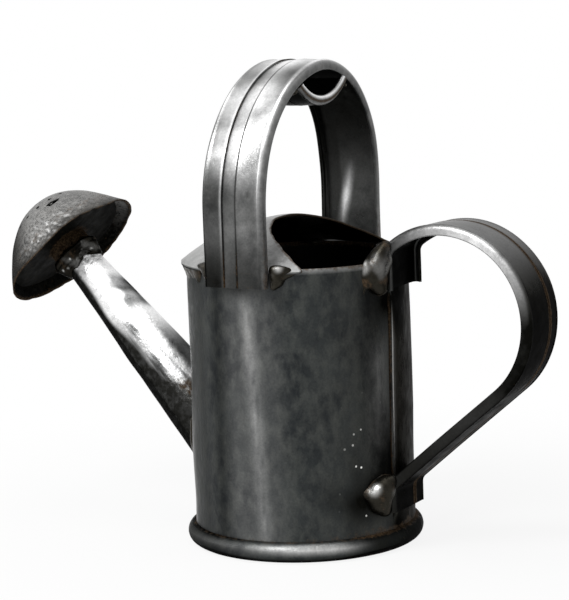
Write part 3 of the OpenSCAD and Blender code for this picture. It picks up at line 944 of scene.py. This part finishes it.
def build_top_grip():
    face = StrapFace(GRIP_GROOVE - 0.4, GRIP_GROOVE + 0.4, 0.6, 0.6, lip=0.1)
    profiles = strap_profiles(GRIP_DEPTH, STRAP_W, 1.8, face)
    path = arc_path(GRIP_SHIFT, GRIP_Z, GRIP_R, 210, 330, step=0.9)
    points, faces = shell(*follow(path, profiles, X, (Y, Z)))
    piece = make_piece("top_grip_strap", points, faces, "top_grip", 50)
    cut(piece, crown_cutter())
    share_unevenness(piece)
    p = get_points(piece)
    r = np.hypot(p[:, 1] - GRIP_SHIFT, p[:, 2] - GRIP_Z)
    edge = ramp(np.abs(p[:, 0]), 12.6, 14.4)
    hem_band = near(r, GRIP_R - GRIP_DEPTH + 0.8, 1.4)
    groove = near(r, GRIP_R - 1.9, 1.1) * edge
    # painted highlights on the hems at both sides; the middle, under the crown, is painted dark as
    # shade, and rust and grime sit in the groove
    paint(piece, "wear_and_highlight", edge * hem_band + 0.3 * near(r, GRIP_R, 1.0) * edge)
    paint(piece, "grime_and_shade", 0.8 * (1 - edge) + 0.55 * groove)
    paint(piece, "rust", 0.72 * groove + 0.12
          + 0.5 * near(p[:, 0], GRIP_GROOVE, 0.8) * ramp(r, GRIP_R - 2, GRIP_R - 0.4))
    piece.data.materials.append(polished_and_highlit_strap)


# %% [markdown]
# Side handle
# The same strap leaves the wall just under the rim, climbs over a big curve and comes back down
# a straight slope to a short foot on the wall. The folded edges almost meet in one narrow groove,
# where rust has settled.

# %% Side handle
SIDE_R, SIDE_X, SIDE_Z, SLOPE = 42.0, 78.6, 104.4, 40.3
SIDE_BEND_R, SIDE_BACK_R, SIDE_FACE_X, UPPER_END_Z = 9.0, 4.0, 54.0, 117.0
GROOVE_Y = 0.17 * STRAP_W


def side_path():
    """From the rim round the big curve and down the slope to the foot, as (x, z) points."""
    upper_x = BODY_R + FIT
    bend_x = upper_x + SIDE_BEND_R
    bend_z = SIDE_Z + math.sqrt((SIDE_R - SIDE_BEND_R) ** 2 - (SIDE_X - bend_x) ** 2)
    bend_a = math.degrees(math.atan2(bend_z - SIDE_Z, bend_x - SIDE_X))
    foot_a = SLOPE - 90
    lean_a, foot_r = math.radians(SLOPE), math.radians(foot_a)
    slope_x = SIDE_X + SIDE_R * math.cos(foot_r)
    slope_z = SIDE_Z + SIDE_R * math.sin(foot_r)
    back_x = SIDE_FACE_X + SIDE_BACK_R
    length = (slope_x - back_x + SIDE_BACK_R * math.sin(lean_a)) / math.cos(lean_a)
    end_x, end_z = slope_x - length * math.cos(lean_a), slope_z - length * math.sin(lean_a)
    back_z = end_z - SIDE_BACK_R * math.cos(lean_a)
    return joined(
        line_path((upper_x, UPPER_END_Z), (upper_x, bend_z), (-1, 0)),
        arc_path(bend_x, bend_z, SIDE_BEND_R, 180, bend_a, step=1.0),
        arc_path(SIDE_X, SIDE_Z, SIDE_R, bend_a, foot_a),
        line_path((slope_x, slope_z), (end_x, end_z), (math.cos(foot_r), math.sin(foot_r))),
        arc_path(back_x, back_z, SIDE_BACK_R, 90 + SLOPE, 180, step=0.5, inwards=-1),
        line_path((SIDE_FACE_X, back_z), (SIDE_FACE_X, SIDE_END_Z), (1, 0)))


def build_side_handle():
    face = StrapFace(GROOVE_Y - 0.4, GROOVE_Y + 0.4, 0.7, 0.7, lip=0.15)
    profiles = strap_profiles(STRAP_DEPTH, STRAP_W, CORNER, face)
    points, faces = shell(*follow(side_path(), profiles, Y, (X, Z)))
    points = wander(points, 38, 0.16, seed=61)
    piece = make_piece("side_handle_strap", points, faces, "side_handle", 50)
    cut(piece, body_cutter(0.95, 125))
    share_unevenness(piece)
    p = get_points(piece)
    x, y, z = p.T
    swing = np.degrees(np.arctan2(z - SIDE_Z, x - SIDE_X))
    r = np.hypot(x - SIDE_X, z - SIDE_Z)
    # a painted highlight tops the big curve's hem, and painted shade grows round it towards the
    # slope
    round_part = ramp(swing, -60, -30)
    outer = ramp(r, SIDE_R - 1.6, SIDE_R - 0.5) * round_part
    high = ramp(swing, 0, 60)
    groove = near(y, GROOVE_Y, 2.4) * np.maximum(outer, 1 - ramp(swing, -75, -55))
    side = ramp(np.abs(y), 12.8, 14.4)
    hem_side = side * (1 - ramp(r, SIDE_R - 1.8, SIDE_R - 0.3))
    glow = near(swing, 62, 80) * round_part
    inner = (1 - ramp(r, SIDE_R - 3.4, SIDE_R - 1.6)) * (1 - side)
    shade_below_top = (0.3 * outer + 0.6 * (1 - ramp(swing, 0, 66))) * (1 - 0.35 * side)
    low_side = side * (1 - ramp(swing, -4, 24))
    slope = 1 - round_part
    paint(piece, "wear_and_highlight", hem_side * glow + 0.2 * outer * high
          + 0.1 * side * near(z, 62, 26) * slope)
    # painted shade over the slope, the inner face, the low side and the joint under the bend, and
    # round the curve; grime and rust sit in the groove
    paint(piece, "grime_and_shade", 0.6 * groove + 0.92 * slope * (1 - 0.12 * side)
          + round_part * (0.6 * low_side + 0.95 * inner + shade_below_top) + 0.6 * ramp(swing, 96, 128))
    # the brown-dark coat is laid on away from the top of the curve, as painted shade
    paint(piece, "stain_and_shade", 0.4 * (1 - high) + 0.25 * outer)
    paint(piece, "rust", 1.25 * groove + 0.12 * (1 - high))
    piece.data.materials.append(polished_and_highlit_strap)


# %% [markdown]
# Spout
# The spout is a sheet cone with a lapped seam, fitted to the wall by cutting its root to the
# body's curve. Each line along the cone starts where it meets the wall, which is found by
# halving, so no boolean is needed. Scuffs and the seam run along it.

# %% Spout
MEAN_R = 12.0             # the tube's middling radius, which spaces its dents evenly
SPOUT_LAP = math.radians(-112)


def root_start(turn, grow):
    """Distance along the axis at which a line on the cone leaves the wall."""
    low, high = -30.0, 40.0
    for _ in range(40):
        s = (low + high) / 2
        r = spout_r(s) + grow
        spot = lean([r * math.cos(turn), r * math.sin(turn), s])
        if math.hypot(spot[0], spot[1]) > BODY_R + 0.1:
            high = s
        else:
            low = s
    return high


def build_spout():
    turn = np.linspace(0, 2 * math.pi, 128, endpoint=False)
    tip = SPOUT_LEN + 4
    sides = []
    for grow in (0.0, -SHEET):
        start = np.array([root_start(a, grow) for a in turn])
        s = start + (tip - start) * np.linspace(0, 1, 90)[:, None]
        tube = np.stack([MEAN_R * np.cos(turn) + 0 * s, MEAN_R * np.sin(turn) + 0 * s, s], -1)
        r = spout_r(s) + grow + 0.16 * waves(tube, 15, seed=71) * ramp(tip - s, 3, 20)
        if grow == 0:
            # the outer layer of the lap, which runs out before the rose's socket
            past_lap = np.degrees((turn - SPOUT_LAP + math.pi) % (2 * math.pi) - math.pi)
            r = r + 0.45 * ramp(past_lap, -1.5, 1.5) * (1 - ramp(past_lap, 12, 50)) \
                * (1 - ramp(s, 88, 96))
        sides.append(lean(np.stack([r * np.cos(turn), r * np.sin(turn), s], -1)))
    points, faces = shell(*sides, wrap=True)
    piece = make_piece("spout_cone", points, faces, "spout_tube")
    share_unevenness(piece)
    q = unlean(get_points(piece))
    turn, s = azimuth(q), q[:, 2]
    inside = 1 - ramp(np.hypot(q[:, 0], q[:, 1]) - spout_r(s), -0.6, -0.3)
    # the painted shade on the underside starts lower down the side near the rose and widens to
    # the root
    border = -97 + 30 * (1 - ramp(s, 4, 62)) + 4 * np.sin(s / 6)
    past = turn - border
    dark = np.maximum(1 - ramp(past, -9, 9), ramp(turn, 105, 145))
    # scuffs drawn out along the tube, one ragged bare patch, and grey round the root and behind
    scuff = (0.4 + 0.6 * ramp(waves(q * [2.2, 2.2, 0.35], 6, seed=73), -0.2, 0.8)) * (1 - dark) \
        * (1 - ramp(past, 28, 46)) * (1 - ramp(s, 50, 66))
    ragged = 9 * waves(q, 9, seed=74)
    patch = near(s + 0.5 * ragged, 71, 16) * ramp(turn + 1.6 * ragged, -52, -32) \
        * (1 - ramp(turn, 60, 90))
    root_grey = ramp(turn, -36, -18) * (1 - ramp(s, 32, 54))
    far_grey = ramp(turn, 38, 70)
    # painted shade just above the underside's border near the root
    root_shade = near(past, 6, 12) * (1 - ramp(s, 12, 34))
    # the tube is painted pale as a highlight wherever the shade, scuffs, patch and grey leave it; the
    # inside is painted dark as shade
    paint(piece, "wear_and_highlight", (1 - inside) * (
        0.97 - dark - 1.1 * scuff - 0.95 * root_grey - 1.3 * patch - 0.6 * far_grey))
    paint(piece, "grime_and_shade", inside + 1.1 * dark + 0.85 * scuff + 0.75 * root_grey + 0.8 * patch
          + 0.25 * far_grey + 0.75 * root_shade)
    paint(piece, "rust", 0.25 * dark * ramp(s, 80, 100) + 0.15 * patch
          + 0.4 * (1 - dark) * (1 - ramp(s, 14, 26)))
    piece.data.materials.append(bright_spout_tin)


# %% [markdown]
# Rose
# The rose is a raised dome, drilled with rings of holes, with a recessed plate behind and a
# socket for the spout. Damp sat in it, so the dome is pitted near its edge and one hole has torn
# open. The dome is turned as a shell and the holes are cut through it.

# %% Rose
ROSE_R, ROSE_H, ROSE_TOP_R, ROSE_RECESS = 35.0, 28.2, 30.2, 5.0
HOLE_D, RING_GAP = 2.0, 7.0
SLEEVE_R, SLEEVE_OUT = 9.9, 8.0
SLOT_W, SLOT_LONG = 3.0, 2.33     # the torn hole's width, and how many times longer it is
SLOT_LEAN, SLOT_TURN = math.radians(49), math.radians(-42)    # down from the crown and round it
KNOCK_WAVE, KNOCK = 30, 0.8        # length and strength of the knocks round its edge
TOP_CENTRE = ROSE_H - ROSE_TOP_R
TOUCH = math.atan2(-TOP_CENTRE, ROSE_R) + math.acos(
    ROSE_TOP_R / math.hypot(ROSE_R, TOP_CENTRE))


def dome_profile(grow):
    """The rose's outline from its crown to its edge: a round top and a straight cone."""
    sweep = np.linspace(math.pi / 2 - 0.02, TOUCH, 30)
    top = [((ROSE_TOP_R + grow) * math.cos(a), TOP_CENTRE + (ROSE_TOP_R + grow) * math.sin(a))
           for a in sweep]
    edge = (ROSE_R + grow / math.cos(TOUCH), 0.0)
    last = top[-1]
    side = [(last[0] + (edge[0] - last[0]) * k, last[1] + (edge[1] - last[1]) * k)
            for k in np.linspace(0, 1, 14)[1:]]
    return top + side


def batter(points):
    """Knocks of the rose, strongest at its edge, in the rose's own frame."""
    fade = ramp(np.hypot(points[..., 0], points[..., 1]), 9, 34)[..., None]
    return points + (wander(points, KNOCK_WAVE, KNOCK, seed=81) - points) * fade


def rod(polar, turn, radius, long=1.0, count=20):
    """A cutter through the dome; long stretches it round the dome."""
    way = np.array([math.sin(polar) * math.cos(turn), math.sin(polar) * math.sin(turn),
                    math.cos(polar)])
    side = np.array([-math.sin(turn), math.cos(turn), 0.0])
    other = np.cross(way, side)
    a = np.linspace(0, 2 * math.pi, count, endpoint=False)
    rough = 1 + (0.1 * np.sin(3 * a + 1) + 0.07 * np.sin(5 * a)) * (long > 1)
    ring = (np.cos(a) * rough * radius * long)[:, None] * side \
        + (np.sin(a) * rough * radius)[:, None] * other
    centre = np.array([0, 0, TOP_CENTRE])
    grid = np.array([centre + way * k + ring for k in (ROSE_TOP_R * 0.8, ROSE_TOP_R * 1.15)])
    return grid.reshape(-1, 3), capped(grid_faces(2, count, False, True), 2, count)


def rose_holes():
    """Every sprinkler hole and the torn slot as one cutter."""
    points, faces = [], []
    spots = [(ring * RING_GAP / ROSE_TOP_R, math.radians(i * 60 / max(1, ring)))
             for ring in range(4) for i in range(max(1, ring * 6))]
    made = [rod(polar, turn, HOLE_D / 2) for polar, turn in spots]
    made.append(rod(SLOT_LEAN, SLOT_TURN, SLOT_W / 2, long=SLOT_LONG, count=28))
    for grid, quads in made:
        faces += [[i + len(points) for i in f] for f in quads]
        points += grid.tolist()
    return cutter_from(batter(np.array(points)), faces)


def build_rose_face():
    sides = [turned(dome_profile(grow), 168) for grow in (0.0, -SHEET)]
    ragged = 0.35 * np.maximum(waves(sides[0][-1], 6, seed=83), 0)
    for side in sides:
        side[-1, :, 2] += ragged
    pits = ramp(waves(sides[0], 3.2, seed=84), 0.55, 1.4) * near(
        np.hypot(sides[0][..., 0], sides[0][..., 1]), 31, 6)
    sides[0] *= (1 - 0.012 * pits)[..., None]
    points, faces = shell(*sides, wrap=True)
    faces = close_pinhole(faces, *sides[0].shape[:2])
    piece = make_piece("rose_dome", batter(points), faces, "rose_face", 40)
    cut(piece, rose_holes())
    q = get_points(piece)
    # about where each point lay before the knocks, so that a dent doesn't read as the inner face
    flat = 2 * q - batter(q)
    r, h = np.hypot(flat[:, 0], flat[:, 1]), flat[:, 2]
    # the outer face is a round top down to the touching point and a straight cone below it
    skin = np.hypot(r, h - TOP_CENTRE) - ROSE_TOP_R
    cone_gap = (r - ROSE_R) * math.cos(TOUCH) + h * math.sin(TOUCH)
    depth_in = np.where(r > ROSE_TOP_R * math.cos(TOUCH) - 1.0, cone_gap, skin)
    under = 1 - ramp(depth_in, -0.65, -0.3)
    turn = azimuth(q)
    low_side = ramp(-np.cos(np.radians(turn)), -0.5, 1.0)
    edge = near(h, 0, 1.6)
    band = near(h, 7, 6) * (1 - low_side)
    specks = ramp(waves(q, 2.6, seed=87), 0.1, 0.8) * near(h, 6, 7.5) * near(turn, -62, 56)
    far_inside = under * near(turn, 30, 70)
    # the inner face is painted dark as shade but for a lighter far side; the lower side is painted
    # dark as shade and the upper side pale as a painted highlight, with bright painted specks; the
    # edge holds rust and grime
    paint(piece, "pit", near(h, 8, 9) + 0.5)
    paint(piece, "wear_and_highlight", (1 - under) * (
        0.2 * band + 1.7 * specks + 0.28 * (1 - low_side) * ramp(h, 2, 14)) + 0.3 * far_inside)
    paint(piece, "grime_and_shade", under - 0.72 * far_inside + 1.1 * low_side + 0.6 * edge)
    paint(piece, "stain_and_shade", 0.3 * low_side + 0.3 * edge)
    paint(piece, "rust", 0.27 * band + 0.42 * edge + 0.1 * low_side + 0.1)
    set_points(piece, lean(q, SPOUT_LEN))
    tidy_mesh(piece, 40)
    share_unevenness(piece)
    piece.data.materials.append(pitted_rose_tin)


def build_rose_back():
    inner_r = ROSE_R - (ROSE_RECESS + SHEET) * math.tan(TOUCH) - SHEET / math.cos(TOUCH) - FIT
    radii = np.linspace(SLEEVE_R + FIT, inner_r, 16)
    sides = [batter(turned([(r, z) for r in radii], 128))
             for z in (ROSE_RECESS, ROSE_RECESS + SHEET)]
    for side in sides:
        side[..., 2] += 0.3 * waves(side * [1, 1, 0], 15, seed=85)
    points, faces = shell(*sides, wrap=True)
    piece = make_piece("rose_back_plate", lean(points, SPOUT_LEN), faces, "rose_back")
    share_unevenness(piece)
    q = unlean(get_points(piece), SPOUT_LEN)
    r = np.hypot(q[:, 0], q[:, 1])
    # the plate is painted dark as shade all over, with a faint painted light near the far rim
    paint(piece, "wear_and_highlight", 0.12 * ramp(r, 26, 31) * ramp(azimuth(q), 20, 80))
    paint(piece, "grime_and_shade", 0.92)
    paint(piece, "rust", 0.18 + 0.3 * near(r, SLEEVE_R, 4))
    piece.data.materials.append(shade_black_tinplate)


def build_rose_neck():
    sides = [turned([(r, z) for z in np.linspace(-SLEEVE_OUT, ROSE_RECESS + SHEET, 14)], 96)
             for r in (SLEEVE_R, SLEEVE_R - SHEET)]
    for side in sides:
        side[..., :2] *= (1 + 0.02 * waves(side, 9, seed=86))[..., None]
    points, faces = shell(*sides, wrap=True)
    piece = make_piece("rose_socket", lean(points, SPOUT_LEN), faces, "rose_neck")
    share_unevenness(piece)
    q = unlean(get_points(piece), SPOUT_LEN)
    paint(piece, "pit", 0.6)
    # a faint painted highlight low on the socket, and painted shade towards the back plate
    paint(piece, "wear_and_highlight", 0.3 * near(q[:, 2], -4, 4))
    paint(piece, "grime_and_shade", 0.97 * ramp(q[:, 2], -7, -3))
    paint(piece, "rust", 0.4 * ramp(q[:, 2], -6, 2) + 0.1)
    piece.data.materials.append(pitted_rose_tin)


# %% [markdown]
# Solder
# Solder was run in hot with an iron, so it lies in fat lumps, fillets and drips. Balls are set
# along each joint, fused by a voxel remesh, smoothed and given small lumps of their own.

# %% Solder helper
BITE = 0.35               # how far the solder runs into the wall, so that no gap shows


def solder(name, node, balls, voxel=0.7, lumps=0.35, smooth=12, seed=90, cutters=(), shine=(),
           dirt_and_shade=0.2):
    """One run of solder from balls given as (x, y, z, radius); shine lists painted highlight spots
    alike.
    """
    work = bmesh.new()
    for x, y, z, r in balls:
        bmesh.ops.create_icosphere(work, subdivisions=3, radius=r * MM,
                                   matrix=Matrix.Translation(Vector((x, y, z)) * MM))
    mesh = bpy.data.meshes.new(name)
    work.to_mesh(mesh)
    work.free()
    piece = put(name, mesh)
    remesh = piece.modifiers.new("fuse", "REMESH")
    remesh.mode, remesh.voxel_size = "VOXEL", voxel * MM
    soften = piece.modifiers.new("soften", "SMOOTH")
    soften.iterations, soften.factor = smooth, 0.6
    bake_modifiers(piece)
    set_points(piece, wander(get_points(piece), 9, lumps, seed))
    if cutters:
        cut(piece, *cutters)
    tidy_mesh(piece, 60)
    share_unevenness(piece)
    enrol(piece, node)
    p = get_points(piece)
    spots = sum(near(np.linalg.norm(p - spot[:3], axis=1), 0, spot[3]) for spot in shine)
    # painted highlights at the shine spots, with grime and painted shade elsewhere
    paint(piece, "wear_and_highlight", 0.3 * ramp(waves(p, 11, seed + 5), 0.2, 1.2) + 1.2 * spots)
    paint(piece, "grime_and_shade", dirt_and_shade + 0.55 * ramp(waves(p, 10, seed + 6), 0.0, 1.2) - spots)
    paint(piece, "stain_and_shade", 0.3)
    paint(piece, "rust", 0.2 + 0.2 * waves(p, 8, seed + 7))
    piece.data.materials.append(lumpy_solder)
    print("solder", name, len(piece.data.polygons), "faces")


def on_wall(turn, z, out=0.0):
    """A point on the wall's outer face at an azimuth and height."""
    a = math.radians(turn)
    return ((BODY_R + out) * math.cos(a), (BODY_R + out) * math.sin(a), z)


def ball_run(spots, start_r, end_r, out, count):
    """Balls between two (azimuth, z) spots on the wall."""
    (a0, z0), (a1, z1) = spots
    return [(*on_wall(a0 + (a1 - a0) * k, z0 + (z1 - z0) * k, out),
             start_r + (end_r - start_r) * k) for k in np.linspace(0, 1, count)]


# %% [markdown]
# Where the solder lies
# Round each end of the side handle sits one fat lump with a painted highlight on it. The arch has
# a run down each edge of its legs, and the hood, grip, spout, rose and base have thinner fillets.

# %% Solder at the side handle
def build_side_solder():
    near_top = [(48.6, -16.4, 127.5, 6.6), (48.0, -17.0, 122.5, 5.8), (50.2, -15.4, 132.0, 4.8),
                (52.4, -14.8, 135.5, 3.4), (49.8, -16.0, 118.5, 4.0), (51.2, -15.0, 129.5, 4.4),
                (50.0, -15.0, 121, 4.0)]
    near_top += ball_run(((-21, 125), (-25, 122)), 4.4, 2.2, -1.0, 10)
    near_top += ball_run(((-25.5, 127), (-26, 116)), 1.3, 1.0, 0.0, 14)
    far_top = [(47.2, 16.2, z, r) for z, r in ((126, 4.4), (121, 4.0), (130, 3.0))]
    low = [(48.4, -16.8, 28.0, 6.6), (48.0, -17.4, 23.5, 5.8), (50.0, -15.6, 32, 4.2),
           (49.4, -15.8, 20, 3.8), (46.8, -19.6, 26, 4.6), (52.0, -15.0, 31.5, 3.4),
           (53.6, -14.4, 34, 2.2)]
    low += ball_run(((-24, 27), (-27, 28)), 3.4, 2.6, -1.2, 5)
    far_low = [(47.2, 16.4, z, r) for z, r in ((27, 4.8), (23, 4.4), (31, 3.2))]
    # each side lump gets one painted highlight and is otherwise kept dark with grime and painted shade
    solder("solder_side_upper_lumps", "solder_side_upper", near_top + far_top, lumps=0.2,
           smooth=26, seed=101, cutters=[body_cutter(-BITE, RIM_Z + 30)],
           shine=[(45.5, -23, 128, 4.6)], dirt_and_shade=0.55)
    solder("solder_side_lower_lumps", "solder_side_lower", low + far_low, lumps=0.2,
           smooth=26, seed=102, cutters=[body_cutter(-BITE, RIM_Z)],
           shine=[(48.5, -23.5, 30.5, 4.6)], dirt_and_shade=0.5)


# %% Solder at the arch, hood and grip
def build_arch_solder():
    for side, name in ((-1, "near"), (1, "far")):
        balls = []
        for sign in (-1, 1):
            for k in np.linspace(0, 1, 9):
                x = sign * (15.4 + 1.5 * k * (sign > 0) + 1.0 * math.sin(4 * k))
                y = side * math.sqrt((BODY_R + 0.2) ** 2 - x * x)
                balls.append((x, y, 121.5 + 7.5 * k, 1.7 + 1.2 * math.sin(math.pi * k)))
            balls += [(sign * x, side * math.sqrt((BODY_R - 0.6) ** 2 - x * x), z, r)
                      for x, z, r in ((17, 124, 3.1), (17.5, 127.5, 3.3), (19.6, 127, 2.7),
                                      (21.6, 127.2, 2.0), (23.4, 127.6, 1.4))]
            balls += [(sign * x, side * math.sqrt((BODY_R + 1.6) ** 2 - x * x), z, r)
                      for x, z, r in ((16.8, 126, 2.6), (16.6, 128.8, 2.6), (18.6, 128.8, 2.4),
                                      (20.6, 129, 1.9), (22.4, 129, 1.4))]
        # a painted highlight near the top of each run
        solder(f"solder_arch_{name}_runs", f"solder_arch_{name}", balls, voxel=0.5, lumps=0.14,
               seed=111 + side, cutters=[body_cutter(-BITE, RIM_Z - 0.6)],
               smooth=18, shine=[(20, side * 51, 130, 3.2)])


def build_hood_solder():
    balls = []
    for turn in np.arange(118, 242.1, 1.4):
        wobble = math.sin(turn * 0.9) + 0.6 * math.sin(turn * 0.37 + 1)
        for drop, out, r in ((1.2, 0.6, 1.3), (3.0, 0.1, 1.15), (5.2, -0.3, 0.95)):
            z = HOOD_EDGE_Z - drop - 0.35 * wobble * drop / 3
            balls.append((*on_wall(turn, z, out), r + 0.12 * wobble))
    solder("solder_hood_fillet", "solder_hood", balls, voxel=0.6, lumps=0.22, seed=121,
           cutters=[body_cutter(-BITE, RIM_Z + 1)])


def build_grip_solder():
    balls = []
    for side in (-1, 1):
        for x in np.arange(-13, 13.1, 1.3):
            r = 1.6 + 0.4 * math.sin(x * 1.3 + side)
            balls.append((x, (GRIP_SHIFT + CROWN_SHIFT) / 2 + side * 22.6, GRIP_Z - 23.2, r))
    solder("solder_grip_beads", "solder_grip", balls, voxel=0.55, lumps=0.25, seed=131)


# %% Solder at the spout, rose and base
def build_spout_solder():
    balls = []
    for turn in np.arange(0, 2 * math.pi, 0.09):
        start = root_start(turn, 0.0)
        r = spout_r(start)
        spot = lean([(r + 0.4) * math.cos(turn), (r + 0.4) * math.sin(turn), start + 0.6])
        fat = 1.7 + 0.5 * math.sin(3 * turn + 1) + 0.3 * math.sin(7 * turn)
        balls.append((*spot, max(fat, 1.1)))
    solder("solder_spout_collar", "solder_spout", balls, voxel=0.6, lumps=0.3, seed=141,
           cutters=[body_cutter(-BITE, RIM_Z)])


def build_rose_solder():
    balls = []
    for turn in np.arange(0, 2 * math.pi, 0.16):
        fat = 1.15 + 0.25 * math.sin(2 * turn) + 0.2 * math.sin(5 * turn + 2)
        for k in range(4):
            r = SLEEVE_R - 1.2 + 0.5 * k + 0.5 * math.sin(3 * turn + k)
            spot = lean([r * math.cos(turn), r * math.sin(turn), SPOUT_LEN - SLEEVE_OUT - 1 + 2.2 * k])
            balls.append((*spot, fat + 0.25 * k))
    # bright spots of painted highlight on the solder ring, which is otherwise kept dark
    shine = [(*lean([11 * math.cos(t), 11 * math.sin(t), SPOUT_LEN - k]), r)
             for t, k, r in ((-0.3, 8, 1.6), (-0.7, 6, 1.2), (-1.1, 8.6, 1.8), (-1.4, 5.6, 1.0),
                             (-1.8, 8, 1.3), (-2.1, 6.4, 1.2))]
    solder("solder_rose_ring", "solder_rose", balls, voxel=0.45, lumps=0.5, smooth=5, seed=151,
           shine=shine, dirt_and_shade=0.7)


def build_base_solder():
    balls = []
    r, z = BODY_R - 2 * SHEET - 0.9, BASE_Z - SHEET - 0.9
    for turn in np.arange(0, 2 * math.pi, 0.022):
        fat = 1.05 + 0.2 * math.sin(9 * turn) + 0.15 * math.sin(23 * turn)
        balls.append((r * math.cos(turn), r * math.sin(turn), z, fat))
    solder("solder_base_fillet", "solder_base", balls, voxel=0.7, lumps=0.15, seed=161)


# %% [markdown]
# Putting the can together
# Every function above makes one piece, already in its place, so building the can is one loop.

# %% Make every piece
for build in (build_body_wall, build_base_plate, build_foot_hoop, build_hood, build_top_handle,
              build_top_grip, build_side_handle, build_spout, build_rose_face, build_rose_back,
              build_rose_neck, build_side_solder, build_arch_solder, build_hood_solder,
              build_grip_solder, build_spout_solder, build_rose_solder, build_base_solder):
    build()
    print("made", build.__name__)

# %% [markdown]
# Floor and light
# The can stands on a plain pale floor under a white surround. The surround is white where the
# camera or a reflection looks at it and dimmer as a lamp, so the grey of the metal comes out as
# it is written and the lamps shape the highlights.

# %% Floor, surround and lamps
def looked_at(tree):
    """1 for the rays that look from the camera, by way of a gloss or through glass, and else 0."""
    ray = add(tree, "ShaderNodeLightPath").outputs
    most = ray["Is Camera Ray"]
    for kind in ("Is Glossy Ray", "Is Transmission Ray"):
        most = add(tree, "ShaderNodeMath", {0: most, 1: ray[kind]}, operation="MAXIMUM").outputs[0]
    return most


def build_surround():
    world = bpy.data.worlds.new("white_surround")
    bpy.context.scene.world = world
    tree = bare_tree(world)
    level = add(tree, "ShaderNodeMapRange", {"Value": looked_at(tree), "To Min": 0.35,
                                             "To Max": 1.0})
    glow = add(tree, "ShaderNodeBackground", {"Color": linear("#ffffff"),
                                              "Strength": level.outputs["Result"]})
    add(tree, "ShaderNodeOutputWorld", {"Surface": glow.outputs["Background"]})


def build_floor():
    """A pale disc that fades into the white surround away from the can."""
    floor = put("pale_floor", mesh_from("pale_floor", *solid_turned([(3000, -4), (3000, 0)], 64)))
    # white paper, matt and even
    paper = bpy.data.materials.new("white_paper_floor")
    tree = bare_tree(paper)
    place = add(tree, "ShaderNodeTexCoord").outputs["Object"]
    far = add(tree, "ShaderNodeVectorMath", {0: place}, operation="LENGTH").outputs["Value"]
    fade = add(tree, "ShaderNodeMapRange", {"Value": far, "From Min": 0.1, "From Max": 0.34,
                                            "To Min": 0.88, "To Max": 1.0},
               interpolation_type="SMOOTHSTEP").outputs["Result"]
    share = add(tree, "ShaderNodeMath", {0: looked_at(tree), 1: fade}, operation="MULTIPLY")
    matt = add(tree, "ShaderNodeBsdfDiffuse", {"Color": linear("#e8e8e8")})
    glow = add(tree, "ShaderNodeEmission", {"Color": linear("#ffffff"), "Strength": 1.0})
    both = add(tree, "ShaderNodeMixShader", {0: share.outputs[0], 1: matt.outputs[0],
                                             2: glow.outputs[0]})
    add(tree, "ShaderNodeOutputMaterial", {"Surface": both.outputs[0]})
    floor.data.materials.append(paper)


def add_lamp(name, turn, height, distance, size, power):
    """A square soft lamp aimed at the can, at an azimuth round it and a height angle."""
    lamp = bpy.data.lights.new(name, "AREA")
    lamp.energy, lamp.size = power, size
    made = put(name, lamp)
    a, e = math.radians(turn), math.radians(height)
    way = Vector((math.sin(a) * math.cos(e), -math.cos(a) * math.cos(e), math.sin(e)))
    made.location = Vector((0, 0, 0.1)) + way * distance
    made.rotation_mode = "QUATERNION"
    made.rotation_quaternion = way.to_track_quat("Z", "Y")


build_surround()
build_floor()
add_lamp("key_window", -12, 46, 1.2, 0.5, 9.0)
add_lamp("left_fill", -75, 20, 1.3, 0.7, 3.5)
add_lamp("top_soft", 30, 80, 1.2, 0.8, 4.0)
scene = bpy.context.scene
scene.view_settings.view_transform = "Standard"

# %% [markdown]
# Camera
# The can is seen from a metre away, a third of the way round from the arch's near leg to the side
# handle and slightly from above, with a long lens that keeps its upright lines nearly parallel.

# %% Camera
CAMERA_TURN, CAMERA_DISTANCE, CAMERA_HEIGHT = 30.16, 1.0, 0.2551
CAMERA_YAW, CAMERA_PITCH, CAMERA_ROLL = 0.37, 8.33, -1.90
LENS, SENSOR = 134.5, 36


def build_camera():
    turn, pitch, roll = (math.radians(v) for v in (
        CAMERA_TURN + CAMERA_YAW, CAMERA_PITCH, CAMERA_ROLL))
    ahead = Vector((-math.sin(turn) * math.cos(pitch), math.cos(turn) * math.cos(pitch),
                    -math.sin(pitch)))
    right = ahead.cross(Vector((0, 0, 1))).normalized()
    up = right.cross(ahead)
    side = right * math.cos(roll) + up * math.sin(roll)
    top = up * math.cos(roll) - right * math.sin(roll)
    data = bpy.data.cameras.new("camera")
    data.lens, data.sensor_width = LENS, SENSOR
    camera = put("camera", data)
    place = math.radians(CAMERA_TURN)
    spot = Vector((math.sin(place) * CAMERA_DISTANCE, -math.cos(place) * CAMERA_DISTANCE,
                   CAMERA_HEIGHT))
    aim = Matrix((side, top, -ahead)).transposed().to_4x4()
    camera.matrix_world = Matrix.Translation(spot) @ aim
    scene.camera = camera
    print("camera at", spot)


build_camera()
